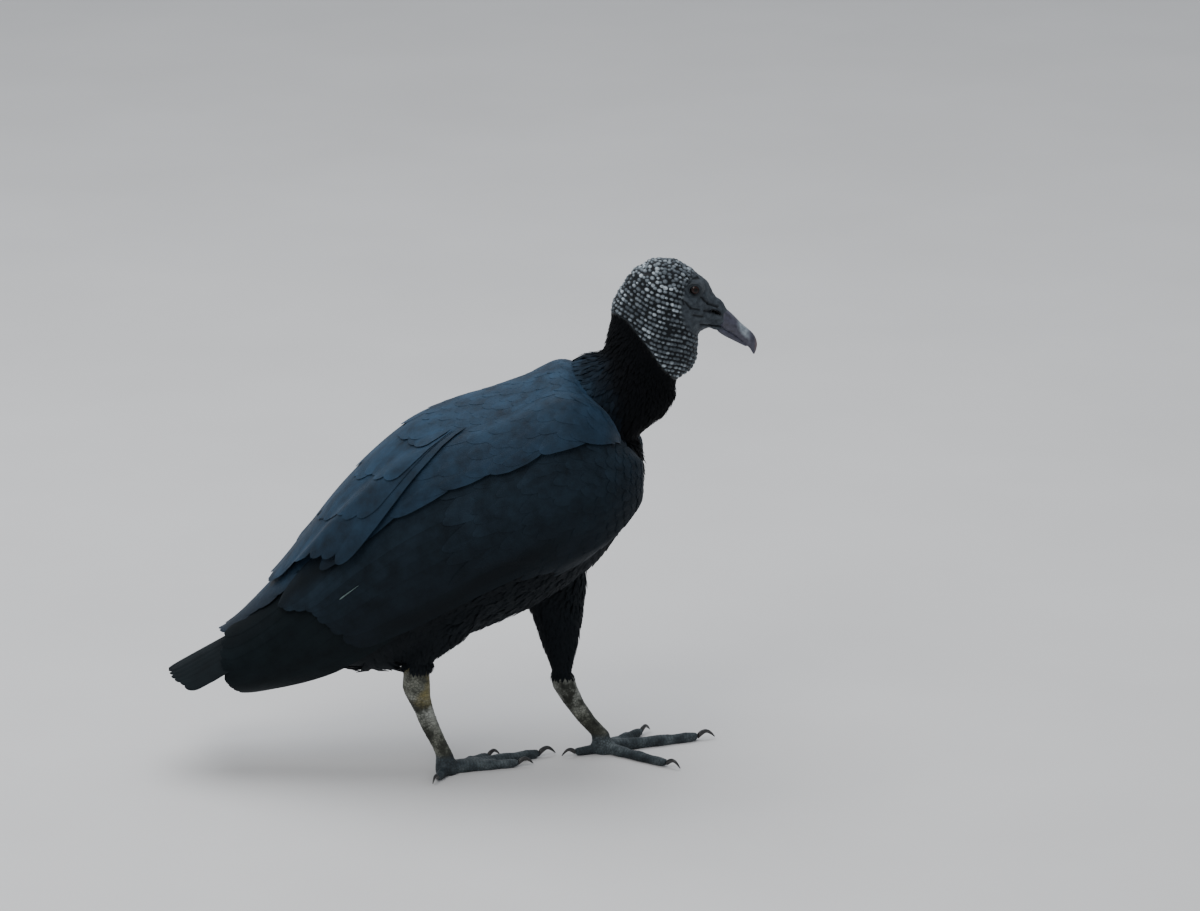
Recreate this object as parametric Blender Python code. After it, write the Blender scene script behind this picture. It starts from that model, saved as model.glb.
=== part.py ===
"""Black vulture (Coragyps atratus), life size, standing mid-stride: a still museum model.

Metres, +Z up. The head points to +X, the bird's left side is +Y and both soles stand on Z = 0.
Sizes below are written in millimetres and turned into metres by MM.
"""

import math

import bmesh
import bpy
import numpy as np
from mathutils import Vector

MM = 0.001
RIGHT = -1.0
LEFT = 1.0
SIDES = (("right", RIGHT), ("left", LEFT))

# Clearances between neighbours and between the layers of feathers, and the layers' thicknesses.
JOINT_GAP = 0.35
LAYER_GAP = 1.5
FEATHER_THICK = 2.2
SCAPULAR_THICK = 2.6
FEATHER_EDGE = 0.9
ARM_THICK = 9.0

# Flank of the body, from the breast to the tips of the folded wings. Each row gives the place along
# the body, the height of the back, of the widest line, of the belly and of the wing's low edge, and
# the half width.
FLANK_ROWS = (
    # place   back  widest belly  wing  half
    (176.0, 299.0, 296.0, 293.0, 293.0, 4.0),
    (172.5, 318.0, 296.0, 274.0, 274.0, 30.0),
    (163.0, 333.0, 292.0, 250.0, 250.0, 52.0),
    (148.0, 352.0, 290.0, 225.0, 225.0, 69.0),
    (128.0, 382.0, 288.0, 201.0, 201.0, 81.0),
    (100.0, 397.0, 283.0, 179.0, 178.0, 89.0),
    (68.0, 382.0, 272.0, 159.0, 157.0, 92.0),
    (34.0, 368.0, 258.0, 143.0, 141.0, 91.0),
    (0.0, 356.0, 242.0, 128.0, 125.0, 88.0),
    (-35.0, 339.0, 224.0, 111.0, 106.0, 83.0),
    (-70.0, 310.0, 202.0, 100.0, 93.0, 76.0),
    (-105.0, 272.0, 178.0, 99.0, 86.0, 67.0),
    (-135.0, 232.0, 156.0, 108.0, 85.0, 60.0),
    (-170.0, 187.0, 132.0, 120.0, 82.0, 52.0),
    (-200.0, 157.0, 114.0, 100.0, 78.0, 45.0),
    (-224.0, 137.0, 104.0, 95.0, 78.0, 38.0),
)
TRUNK_LAST_ROW = 11
TRUNK_RINGS_PER_ROW = 1.5
TRUNK_SIDES = 24
# The rump closes the trunk behind the last flank row: place, back, widest, belly, half width.
RUMP_ROWS = (
    (-119.0, 248.0, 172.0, 108.0, 55.0),
    (-128.0, 216.0, 164.0, 124.0, 36.0),
)

# Neck, as pairs of points on the profile: the one at the back (along, up), the one at the throat,
# and the half width between them.
NECK_ROWS = (
    (97.0, 388.0, 120.0, 306.0, 45.0),
    (119.0, 408.0, 146.0, 314.0, 42.5),
    (138.5, 411.5, 172.0, 331.0, 39.5),
    (141.5, 424.0, 197.0, 349.0, 36.5),
    (143.5, 437.0, 208.5, 367.0, 33.5),
    (145.7, 451.7, 208.7, 386.2, 30.5),
)
NECK_SIDES = 20

# Bare head, bill and eyes, in the same way.
HEAD_ROWS = (
    (146.0, 452.0, 209.0, 386.5, 30.5),
    (149.5, 464.0, 218.0, 391.0, 31.5),
    (157.0, 477.0, 225.5, 400.5, 31.0),
    (167.0, 491.0, 227.5, 412.0, 29.5),
    (186.5, 502.5, 227.5, 424.0, 27.5),
    (206.5, 500.5, 229.0, 431.5, 25.0),
    (223.0, 491.0, 233.0, 433.5, 21.5),
    (234.0, 480.5, 237.0, 434.5, 16.5),
    (240.0, 468.5, 240.5, 435.5, 12.0),
)
HEAD_SIDES = 20

BILL_UPPER_ROWS = (
    (241.0, 466.5, 240.5, 441.0, 11.2),
    (249.0, 458.5, 246.5, 437.0, 9.6),
    (257.5, 449.0, 254.0, 432.0, 8.2),
    (267.5, 440.5, 262.0, 426.0, 7.2),
    (275.5, 432.5, 268.0, 420.8, 6.0),
    (280.5, 424.0, 273.0, 415.5, 4.4),
    (281.0, 416.0, 276.5, 411.5, 2.6),
    (279.6, 410.0, 278.8, 409.4, 0.8),
)
BILL_LOWER_ROWS = (
    (241.0, 440.2, 241.3, 433.6, 9.6),
    (247.0, 436.2, 246.5, 430.2, 8.4),
    (254.0, 431.2, 252.0, 425.6, 7.0),
    (262.0, 425.2, 260.0, 420.4, 5.6),
    (267.6, 420.2, 266.8, 417.0, 3.4),
)
BILL_SIDES = 12

HEAD_FULLNESS = 0.9
EYE_RADIUS = 5.6
EYE_SEGMENTS = 12
EYE_RINGS = 8
EYE_PLACE = (224.5, 16.6, 476.5)

# Legs. Each row: along, across, up, half depth, half width. Across is measured toward the bird's left.
THIGH_RIGHT_ROWS = (
    (10.0, -42.0, 196.0, 38.0, 29.0),
    (-2.0, -42.0, 165.0, 33.0, 27.0),
    (-16.0, -40.0, 138.0, 23.0, 20.0),
    (-36.0, -37.0, 117.0, 14.0, 13.5),
    (-39.5, -34.5, 104.0, 13.0, 11.5),
)
THIGH_LEFT_ROWS = (
    (86.0, 40.0, 196.0, 42.0, 30.0),
    (91.0, 39.0, 166.0, 33.0, 26.0),
    (95.5, 36.0, 130.0, 23.0, 19.0),
    (98.0, 33.5, 100.0, 16.5, 14.0),
    (99.0, 32.5, 80.0, 12.0, 10.5),
)
SHANK_RIGHT_ROWS = (
    (-39.5, -34.4, 103.5, 12.6, 10.6),
    (-38.5, -33.5, 91.0, 12.2, 10.2),
    (-35.0, -32.2, 77.0, 8.8, 8.0),
    (-29.5, -30.6, 62.0, 6.9, 6.4),
    (-25.5, -29.4, 50.0, 6.9, 6.2),
    (-20.5, -28.0, 35.0, 7.6, 6.8),
    (-13.5, -27.0, 18.5, 8.4, 8.2),
)
SHANK_LEFT_ROWS = (
    (99.2, 33.0, 79.5, 11.4, 9.8),
    (101.5, 33.5, 68.0, 11.8, 9.8),
    (110.0, 34.5, 51.5, 10.2, 8.0),
    (122.0, 35.2, 34.0, 9.4, 7.2),
    (136.0, 36.0, 18.5, 9.4, 8.2),
)
THIGH_SIDES = 14
SHANK_SIDES = 12

# A toe's knuckles: share of its length, share of its root radius, and rise of its centre line.
KNUCKLES = (
    (0.0, 1.05, 1.5),
    (0.28, 1.06, 0.8),
    (0.42, 0.88, 0.5),
    (0.60, 0.98, 0.4),
    (0.74, 0.80, 0.2),
    (0.88, 0.86, 0.3),
    (1.0, 0.62, 0.4),
)

TOE_HEIGHT = 3.8
TOE_SIDES = 8

# Claws: height where they start, root radius as a share of the toe's, point radius, and the rise
# and drop of their curve as shares of their length.
TOE_END_HEIGHT = 4.2
CLAW_ROOT = 0.45
CLAW_POINT = 0.35
CLAW_RISE = 0.32
CLAW_DROP = 0.14
CLAW_SIDES = 8
CLAW_STEPS = 5
# Feet: the middle of the foot, then each toe's name, heading in degrees from +X toward +Y, length
# and root radius.
FOOT_RIGHT = (-11.0, -27.0)
FOOT_LEFT = (139.0, 36.0)
FOOT_LEAN_RIGHT = -2.5
FOOT_LEAN_LEFT = -3.0
TOES_RIGHT = (
    ("outer", 15.0, 70.0, 5.6),
    ("middle", 28.0, 99.0, 6.2),
    ("inner", 45.0, 54.0, 5.4),
    ("back", 252.0, 27.0, 5.0),
)
TOES_LEFT = (
    ("inner", -37.0, 76.0, 5.4),
    ("middle", 21.0, 98.0, 6.2),
    ("outer", 54.0, 62.0, 5.6),
    ("back", 205.0, 30.0, 5.0),
)
CLAW_LENGTH = {"outer": 15.0, "middle": 18.0, "inner": 16.0, "back": 14.0}
FOOT_PAD_RADIUS = 10.5
FOOT_NECK_TOP = 17.6

# Tail: a fan under the folded wings, arched across, with rounded tips along its end.
TAIL_ROOT = (-112.0, 194.0)
TAIL_TIP = (-279.0, 96.0)
TAIL_HALF_ROOT = 16.0
TAIL_HALF_TIP = 45.0
TAIL_ARCH = 12.5
TAIL_ROOT_THICK = 11.0
TAIL_TIP_THICK = 3.0
TAIL_SPREAD = 1.3
TAIL_TIPS = 4
TAIL_SCALLOP = 7.0
TAIL_ROUNDING = 20.0
TAIL_COLUMNS = 7


def clear_scene():
    for item in list(bpy.data.objects):
        bpy.data.objects.remove(item, do_unlink=True)


def make_material(name, colour, roughness, metallic=0.0):
    material = bpy.data.materials.new(name)
    material.use_nodes = True
    shader = material.node_tree.nodes["Principled BSDF"]
    shader.inputs["Base Color"].default_value = (*colour, 1.0)
    shader.inputs["Roughness"].default_value = roughness
    shader.inputs["Metallic"].default_value = metallic
    material.diffuse_color = (*colour, 1.0)
    return material


def make_object(name, points, faces, material):
    """A named object from points in millimetres, with its faces turned outward."""
    mesh = bpy.data.meshes.new(name)
    mesh.from_pydata([tuple(MM * value for value in point) for point in points], [], faces)
    shape = bmesh.new()
    shape.from_mesh(mesh)
    bmesh.ops.recalc_face_normals(shape, faces=shape.faces)
    shape.to_mesh(mesh)
    shape.free()
    mesh.shade_smooth()
    mesh.materials.append(material)
    item = bpy.data.objects.new(name, mesh)
    bpy.context.scene.collection.objects.link(item)
    return item


def row_at(rows, place):
    """The table's values at a place between its rows, on a smooth curve through them."""
    table = np.asarray(rows, float)
    place = min(max(place, 0.0), len(table) - 1.0)
    index = min(int(place), len(table) - 2)
    part = place - index
    before = table[max(index - 1, 0)]
    start = table[index]
    end = table[index + 1]
    after = table[min(index + 2, len(table) - 1)]
    first = (end - before) / 2
    last = (after - start) / 2
    square = part * part
    cube = square * part
    return (
        (2 * cube - 3 * square + 1) * start
        + (cube - 2 * square + part) * first
        + (3 * square - 2 * cube) * end
        + (cube - square) * last
    )


def ramp(value, start, end, low, high):
    """Goes smoothly from low to high while the value goes from start to end."""
    part = min(max((value - start) / (end - start), 0.0), 1.0)
    part = part * part * (3 - 2 * part)
    return low + (high - low) * part


def closed_loft(rings):
    """Points and faces of a closed solid through rings of equal length, with flat ends."""
    count = len(rings[0])
    points = [point for ring in rings for point in ring]
    faces = [tuple(range(count))]
    for index in range(len(rings) - 1):
        low = index * count
        for step in range(count):
            following = (step + 1) % count
            faces.append((low + step, low + following, low + count + following, low + count + step))
    last = (len(rings) - 1) * count
    faces.append(tuple(range(last, last + count)))
    return points, faces


def turn(step, count):
    return 2 * math.pi * step / count


# ---------------------------------------------------------------------------------------------
# Trunk
# ---------------------------------------------------------------------------------------------
def flank_point(place, angle):
    """A point under the left wing, at a row place and an angle in degrees down from the back."""
    along, back, widest, _, low, half = row_at(FLANK_ROWS, place)
    slant = math.radians(angle)
    reach = back - widest if angle <= 90.0 else widest - low
    return Vector((along, half * math.sin(slant), widest + reach * math.cos(slant)))


def trunk_ring(along, back, widest, belly, half):
    ring = []
    for step in range(TRUNK_SIDES):
        slant = turn(step, TRUNK_SIDES)
        rise = math.cos(slant)
        reach = back - widest if rise > 0 else widest - belly
        ring.append((along, half * math.sin(slant), widest + reach * rise))
    return ring


def build_trunk(material, name="trunk", grow=0.0):
    rings = []
    for index in range(int(TRUNK_RINGS_PER_ROW * TRUNK_LAST_ROW) + 1):
        along, back, widest, belly, _, half = row_at(FLANK_ROWS, index / TRUNK_RINGS_PER_ROW)
        rings.append(trunk_ring(along, back + grow, widest, belly - grow, half + grow))
    for along, back, widest, belly, half in RUMP_ROWS:
        rings.append(trunk_ring(along, back + grow, widest, belly - grow, half + grow))
    return make_object(name, *closed_loft(rings), material)


# ---------------------------------------------------------------------------------------------
# Layers of the folded wing
# ---------------------------------------------------------------------------------------------
def wing_low_edge(place):
    """Angle of the wing's lower edge, from the wrist back to the tips."""
    angles = [[115], [115], [124], [129], [130], [129], [120], [112], [113], [118], [132]]
    angles += [[145], [152], [156], [158], [158]]
    return float(row_at(angles, place)[0])


def wing_inner(place):
    """Height of the wing's underside over the flank: the primaries lie between them behind the elbow."""
    return ramp(place, 4.6, 6.6, 1.3 * LAYER_GAP, 2 * LAYER_GAP + FEATHER_THICK)


def wing_thickness(place, angle):
    """The wing is thick over the folded arm, and thins toward its upper edge and behind the elbow."""
    bulge = ramp(place, 3.4, 6.2, ARM_THICK, FEATHER_THICK)
    return ramp(angle, 41.0, 60.0, min(bulge, ARM_THICK / 3), bulge)


def scapular_inner(place, angle):
    """Height of the scapulars' underside: on the back at the top, over the wing below."""
    over_wing = ramp(place, 3.4, 6.6, ARM_THICK + 2 * LAYER_GAP, 2 * FEATHER_THICK + 3 * LAYER_GAP + 0.3)
    return ramp(angle, 26.0, 40.0, LAYER_GAP, over_wing)


# Each layer of the folded wing: its front and rear places (by the share of the way across it), its
# upper and lower angles (by place), the height of its underside, its thickness, the number of
# feather tips along its rear and their depth.
LAYERS = {
    "primaries": {
        "front": lambda across: 6.8,
        "rear": lambda across: 14.2 + 0.75 * math.sin(math.pi * min(1.0, 0.25 + 0.8 * across)),
        "upper": lambda place: ramp(place, 11.8, 13.4, 44.0, 10.0),
        "lower": wing_low_edge,
        "inner": lambda place, angle: LAYER_GAP,
        "thick": lambda place, angle: FEATHER_THICK,
        "tips": 4,
        "depth": 0.28,
    },
    "wing": {
        "front": lambda across: 0.95 + 0.5 * (2 * across - 1) ** 2,
        "rear": lambda across: 12.9 - 2.3 * across,
        "upper": lambda place: ramp(place, 1.0, 4.0, 66.0, 43.0),
        "lower": lambda place: wing_low_edge(place) - ramp(place, 7.0, 11.0, 0.0, 26.0),
        "inner": lambda place, angle: wing_inner(place),
        "thick": wing_thickness,
        "tips": 4,
        "depth": 0.3,
    },
    "scapulars": {
        "front": lambda across: 5.4 - 2.5 * across**2,
        "rear": lambda across: 11.9 - 0.9 * across,
        "upper": lambda place: ramp(place, 3.0, 6.0, 16.0, 5.0),
        "lower": lambda place: ramp(place, 3.0, 5.0, 44.0, 60.0),
        "inner": scapular_inner,
        "thick": lambda place, angle: SCAPULAR_THICK,
        "tips": 3,
        "depth": 0.3,
    },
    "tertials": {
        "front": lambda across: 6.2 + 0.4 * across,
        "rear": lambda across: 13.2 - 0.7 * across,
        "upper": lambda place: 0.7,
        "lower": lambda place: ramp(place, 6.2, 10.2, 20.0, 61.0) - ramp(place, 10.4, 12.8, 0.0, 24.0),
        "inner": lambda place, angle: scapular_inner(place, angle) + SCAPULAR_THICK + 2.0 * LAYER_GAP,
        "thick": lambda place, angle: SCAPULAR_THICK,
        "tips": 3,
        "depth": 0.3,
    },
}
LAYER_COLUMNS = 11
ROWS_PER_TIP = 3
LAYER_RIM = 0.16


def tip_notch(phase):
    """How far a rounded feather tip falls back: 0 in its middle, 1 between two tips."""
    return (2.0 * (phase - math.floor(phase)) - 1.0) ** 2


def lifted_point(place, angle, height):
    """A point at a height over the left flank, along its outward direction."""
    step = 0.02
    forward = flank_point(place - step, angle) - flank_point(place + step, angle)
    around = flank_point(place, angle + 1.0) - flank_point(place, angle - 1.0)
    return flank_point(place, angle) + forward.cross(around).normalized() * height


def build_layer(name, side_name, side, material):
    """One layer of the folded wing: a slab that follows the flank, ending in a row of feather tips."""
    plan = LAYERS[name]
    rows = plan["tips"] * ROWS_PER_TIP
    outer = []
    inner = []
    for across_step in range(rows + 1):
        across = across_step / rows
        front = plan["front"](across)
        rear = plan["rear"](across) - plan["depth"] * tip_notch(across * plan["tips"])
        for along_step in range(LAYER_COLUMNS + 1):
            along = along_step / LAYER_COLUMNS
            place = front + (rear - front) * along
            upper = plan["upper"](place)
            angle = upper + (plan["lower"](place) - upper) * across
            base = plan["inner"](place, angle)
            edge = min(along, 1.0 - along, 1.25 * across, 1.25 * (1.0 - across))
            full = plan["thick"](place, angle)
            thick = ramp(edge, 0.0, LAYER_RIM, min(full, FEATHER_EDGE), full)
            low = lifted_point(place, angle, base)
            high = lifted_point(place, angle, base + thick)
            inner.append((low.x, side * low.y, low.z))
            outer.append((high.x, side * high.y, high.z))
    return make_object(f"{name}_{side_name}", *closed_sheet(inner, outer, rows, LAYER_COLUMNS), material)


def closed_sheet(inner, outer, rows, columns):
    """Points and faces of a slab between two grids of points."""
    wide = columns + 1
    shift = len(inner)
    faces = []
    for row in range(rows):
        for column in range(columns):
            corner = row * wide + column
            quad = (corner, corner + 1, corner + wide + 1, corner + wide)
            faces.append(quad)
            faces.append(tuple(shift + index for index in reversed(quad)))
    border = [column for column in range(columns)]
    border += [row * wide + columns for row in range(rows)]
    border += [rows * wide + column for column in range(columns, 0, -1)]
    border += [row * wide for row in range(rows, 0, -1)]
    for index, corner in enumerate(border):
        following = border[(index + 1) % len(border)]
        faces.append((following, corner, shift + corner, shift + following))
    return inner + outer, faces


# ---------------------------------------------------------------------------------------------
# Tail
# ---------------------------------------------------------------------------------------------
def build_tail(material):
    rows = TAIL_TIPS * ROWS_PER_TIP
    root = Vector((TAIL_ROOT[0], 0.0, TAIL_ROOT[1]))
    tip = Vector((TAIL_TIP[0], 0.0, TAIL_TIP[1]))
    direction = (tip - root).normalized()
    upward = Vector((0.0, 1.0, 0.0)).cross(direction)
    length = (tip - root).length
    inner = []
    outer = []
    for across_step in range(rows + 1):
        across = 2.0 * across_step / rows - 1.0
        reach = length - TAIL_SCALLOP * tip_notch(across_step / ROWS_PER_TIP)
        reach -= TAIL_ROUNDING * across * across
        for along_step in range(TAIL_COLUMNS + 1):
            along = along_step / TAIL_COLUMNS
            top = root + direction * (reach * along) - upward * (TAIL_ARCH * across * across)
            top.y = across * (TAIL_HALF_ROOT + (TAIL_HALF_TIP - TAIL_HALF_ROOT) * along**TAIL_SPREAD)
            inside = min(1.0, 3.0 * (1.0 - abs(across))) * min(1.0, 4.0 * (1.0 - along))
            full = ramp(along, 0.0, 0.6, TAIL_ROOT_THICK, TAIL_TIP_THICK)
            bottom = top - upward * (FEATHER_EDGE + (full - FEATHER_EDGE) * inside)
            outer.append(tuple(top))
            inner.append(tuple(bottom))
    tail = make_object("tail", *closed_sheet(inner, outer, rows, TAIL_COLUMNS), material)
    combine(tail, "DIFFERENCE", [build_trunk(material, "trunk_clearance", JOINT_GAP)])


# ---------------------------------------------------------------------------------------------
# Neck, head, bill and eyes
# ---------------------------------------------------------------------------------------------
def build_profile_solid(name, rows, sides, material, fullness=1.0):
    """A solid lofted across a profile that is given as pairs of upper and lower points."""
    rings = []
    for upper_along, upper_up, lower_along, lower_up, half in rows:
        upper = Vector((upper_along, 0.0, upper_up))
        lower = Vector((lower_along, 0.0, lower_up))
        ring = []
        for step in range(sides):
            slant = turn(step, sides)
            point = (upper + lower) / 2 + (upper - lower) / 2 * math.cos(slant)
            point.y = math.copysign(half * abs(math.sin(slant)) ** fullness, math.sin(slant))
            ring.append(tuple(point))
        rings.append(ring)
    return make_object(name, *closed_loft(rings), material)


def build_ball(name, place, radius, material):
    mesh = bpy.data.meshes.new(name)
    shape = bmesh.new()
    bmesh.ops.create_uvsphere(shape, u_segments=EYE_SEGMENTS, v_segments=EYE_RINGS, radius=radius * MM)
    shape.to_mesh(mesh)
    shape.free()
    mesh.shade_smooth()
    mesh.materials.append(material)
    item = bpy.data.objects.new(name, mesh)
    item.location = Vector(place) * MM
    bpy.context.scene.collection.objects.link(item)
    return item


# ---------------------------------------------------------------------------------------------
# Legs and feet
# ---------------------------------------------------------------------------------------------
def build_limb(name, rows, sides, material):
    """A solid lofted through level rings down a limb."""
    rings = []
    for along, across, up, depth, half in rows:
        turns = [turn(step, sides) for step in range(sides)]
        rings.append([(along + depth * math.cos(a), across + half * math.sin(a), up) for a in turns])
    return make_object(name, *closed_loft(rings), material)


def heading_vector(heading):
    turned = math.radians(heading)
    return Vector((math.cos(turned), math.sin(turned), 0.0))


def toe_rings(foot, heading, length, radius):
    forward = heading_vector(heading)
    side = Vector((-forward.y, forward.x, 0.0))
    rings = []
    for share, width, rise in KNUCKLES:
        centre = Vector((foot[0], foot[1], TOE_HEIGHT + rise)) + forward * (length * share)
        ring = []
        for step in range(TOE_SIDES):
            slant = turn(step + 0.5, TOE_SIDES)
            point = centre + side * (radius * width * math.sin(slant))
            point.z += radius * width * math.cos(slant)
            ring.append(tuple(point))
        rings.append(ring)
    return rings


def combine(item, operation, others):
    """Cuts the others from the item, or joins them to it, and removes them."""
    for other in others:
        change = item.modifiers.new(operation.lower(), "BOOLEAN")
        change.operation = operation
        change.solver = "EXACT"
        change.object = other
        other.hide_render = True
        other.display_type = "WIRE"
    graph = bpy.context.evaluated_depsgraph_get()
    result = bpy.data.meshes.new_from_object(item.evaluated_get(graph))
    material = item.data.materials[0]
    item.modifiers.clear()
    item.data = result
    item.data.materials.clear()
    item.data.materials.append(material)
    for other in others:
        bpy.data.objects.remove(other, do_unlink=True)


def floor_cutter(material):
    """A block under the floor, to leave flats at one level."""
    mesh = bpy.data.meshes.new("floor_cutter")
    shape = bmesh.new()
    bmesh.ops.create_cube(shape, size=1.0)
    bmesh.ops.scale(shape, vec=(1.0, 1.0, 0.1), verts=shape.verts)
    bmesh.ops.translate(shape, vec=(0.0, 0.0, -0.05), verts=shape.verts)
    shape.to_mesh(mesh)
    shape.free()
    mesh.materials.append(material)
    item = bpy.data.objects.new("floor_cutter", mesh)
    bpy.context.scene.collection.objects.link(item)
    return item


def pad_rows(foot, lean):
    """The foot's ball, from the floor up to the shank's end."""
    return (
        (foot[0], foot[1], -1.5, FOOT_PAD_RADIUS, FOOT_PAD_RADIUS),
        (foot[0], foot[1], 4.0, FOOT_PAD_RADIUS + 1.0, FOOT_PAD_RADIUS + 1.0),
        (foot[0] + lean * 0.5, foot[1], 11.0, FOOT_PAD_RADIUS - 0.8, FOOT_PAD_RADIUS - 1.0),
        (foot[0] + lean, foot[1], FOOT_NECK_TOP, 8.4, 8.0),
    )


def build_foot(side_name, foot, toes, lean, material):
    pad = build_limb(f"foot_{side_name}", pad_rows(foot, lean), SHANK_SIDES, material)
    limbs = []
    for name, heading, length, radius in toes:
        rings = toe_rings(foot, heading, length, radius)
        limbs.append(make_object(f"toe_{name}_{side_name}", *closed_loft(rings), material))
    combine(pad, "UNION", limbs)
    combine(pad, "DIFFERENCE", [floor_cutter(material)])


def build_claw(name, foot, heading, length, radius, reach, material):
    """A hooked claw that rises from the toe's end and comes down to a point."""
    forward = heading_vector(heading)
    side = Vector((-forward.y, forward.x, 0.0))
    start = Vector((foot[0], foot[1], TOE_END_HEIGHT)) + forward * (length + JOINT_GAP)
    root = CLAW_ROOT * radius
    rings = []
    for index in range(CLAW_STEPS + 1):
        share = index / CLAW_STEPS
        centre = start + forward * (reach * share)
        centre.z += reach * (CLAW_RISE * math.sin(math.pi * share) - CLAW_DROP * share)
        slope = math.atan(math.pi * CLAW_RISE * math.cos(math.pi * share) - CLAW_DROP)
        if index == 0:
            slope = 0.0
        thick = root * (1.0 - share) ** 0.7 + CLAW_POINT
        rise = Vector((0.0, 0.0, math.cos(slope))) - forward * math.sin(slope)
        ring = []
        for step in range(CLAW_SIDES):
            slant = turn(step, CLAW_SIDES)
            point = centre + rise * (thick * math.cos(slant)) + side * (0.8 * thick * math.sin(slant))
            ring.append((point.x, point.y, max(point.z, 0.0)))
        rings.append(ring)
    return make_object(name, *closed_loft(rings), material)


# ---------------------------------------------------------------------------------------------
# The whole bird
# ---------------------------------------------------------------------------------------------
def centre_on_floor():
    """Moves all objects together so that the model's box is centred over the origin."""
    bpy.context.view_layer.update()
    corners = []
    for item in bpy.data.objects:
        corners += [item.matrix_world @ vertex.co for vertex in item.data.vertices]
    table = np.array([tuple(corner) for corner in corners])
    middle = (table.min(axis=0) + table.max(axis=0)) / 2
    for item in bpy.data.objects:
        item.location -= Vector((middle[0], middle[1], 0.0))


def trunk_parts(plumage, flight, back_plumage):
    build_trunk(plumage)
    build_tail(flight)
    layer_materials = {
        "primaries": flight,
        "wing": plumage,
        "scapulars": back_plumage,
        "tertials": back_plumage,
    }
    for side_name, side in SIDES:
        for name, material in layer_materials.items():
            build_layer(name, side_name, side, material)


def head_parts(neck_plumage, bare_skin, horn, eye):
    neck = build_profile_solid("neck", NECK_ROWS, NECK_SIDES, neck_plumage)
    combine(neck, "DIFFERENCE", [build_trunk(neck_plumage, "trunk_clearance", JOINT_GAP)])
    head = build_profile_solid("head", HEAD_ROWS, HEAD_SIDES, bare_skin, HEAD_FULLNESS)
    build_profile_solid("bill_upper", BILL_UPPER_ROWS, BILL_SIDES, horn)
    build_profile_solid("bill_lower", BILL_LOWER_ROWS, BILL_SIDES, horn)
    for side_name, side in SIDES:
        place = (EYE_PLACE[0], side * EYE_PLACE[1], EYE_PLACE[2])
        build_ball(f"eye_{side_name}", place, EYE_RADIUS, eye)
        combine(head, "DIFFERENCE", [build_ball(f"socket_{side_name}", place, EYE_RADIUS + JOINT_GAP, eye)])


def leg_parts(neck_plumage, scaled, toes, claw):
    for side_name, thigh_rows, shank_rows, foot, toe_list, lean in (
        ("right", THIGH_RIGHT_ROWS, SHANK_RIGHT_ROWS, FOOT_RIGHT, TOES_RIGHT, FOOT_LEAN_RIGHT),
        ("left", THIGH_LEFT_ROWS, SHANK_LEFT_ROWS, FOOT_LEFT, TOES_LEFT, FOOT_LEAN_LEFT),
    ):
        thigh = build_limb(f"thigh_{side_name}", thigh_rows, THIGH_SIDES, neck_plumage)
        combine(thigh, "DIFFERENCE", [build_trunk(neck_plumage, "trunk_clearance", JOINT_GAP)])
        build_limb(f"shank_{side_name}", shank_rows, SHANK_SIDES, scaled)
        build_foot(side_name, foot, toe_list, lean, toes)
        for name, heading, length, radius in toe_list:
            build_claw(f"claw_{name}_{side_name}", foot, heading, length, radius, CLAW_LENGTH[name], claw)


def main():
    clear_scene()
    plumage = make_material("plumage_black", (0.020, 0.022, 0.027), 0.62)
    back_plumage = make_material("plumage_back", (0.034, 0.042, 0.054), 0.50)
    neck_plumage = make_material("plumage_neck", (0.010, 0.010, 0.012), 0.85)
    flight = make_material("plumage_flight", (0.027, 0.028, 0.031), 0.55)
    bare_skin = make_material("bare_skin", (0.090, 0.092, 0.098), 0.60)
    horn = make_material("horn", (0.075, 0.070, 0.072), 0.42)
    claw = make_material("claw", (0.018, 0.017, 0.018), 0.30)
    eye = make_material("eye", (0.030, 0.014, 0.010), 0.08)
    scaled = make_material("leg_scales", (0.190, 0.180, 0.150), 0.60)
    toes = make_material("toe_scales", (0.085, 0.098, 0.105), 0.50)

    trunk_parts(plumage, flight, back_plumage)
    head_parts(neck_plumage, bare_skin, horn, eye)
    leg_parts(neck_plumage, scaled, toes, claw)
    centre_on_floor()


main()
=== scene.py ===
"""Looks of the life-size black vulture: skin, feathers, bill, eyes, claws, floor, light and camera.

Lengths are in millimetres and are turned into metres by MM. +X is forward, +Y the bird's left, +Z up.
"""

import math
from contextlib import contextmanager

import bmesh
import bpy
import numpy as np
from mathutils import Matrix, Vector
from mathutils.bvhtree import BVHTree
from mathutils.kdtree import KDTree


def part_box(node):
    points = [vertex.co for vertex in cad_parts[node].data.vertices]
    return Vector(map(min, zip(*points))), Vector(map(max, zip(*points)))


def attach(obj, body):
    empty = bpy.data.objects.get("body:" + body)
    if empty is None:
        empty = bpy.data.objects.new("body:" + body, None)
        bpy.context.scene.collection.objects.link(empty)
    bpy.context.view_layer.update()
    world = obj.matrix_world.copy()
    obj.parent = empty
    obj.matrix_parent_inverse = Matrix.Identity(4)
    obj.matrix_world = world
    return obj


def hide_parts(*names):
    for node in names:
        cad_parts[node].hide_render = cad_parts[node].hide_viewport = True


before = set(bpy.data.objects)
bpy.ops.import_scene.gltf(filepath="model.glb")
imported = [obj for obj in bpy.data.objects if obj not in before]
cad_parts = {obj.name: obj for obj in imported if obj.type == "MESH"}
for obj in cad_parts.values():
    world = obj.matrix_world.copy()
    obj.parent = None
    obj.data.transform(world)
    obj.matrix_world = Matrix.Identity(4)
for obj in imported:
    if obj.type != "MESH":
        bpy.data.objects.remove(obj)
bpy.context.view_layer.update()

MM = 0.001
SIDES = (("right", -1.0), ("left", 1.0))
# The solids are centred on the floor, which moves their tables' places by this much along X.
CENTRING = -1.66

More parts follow.
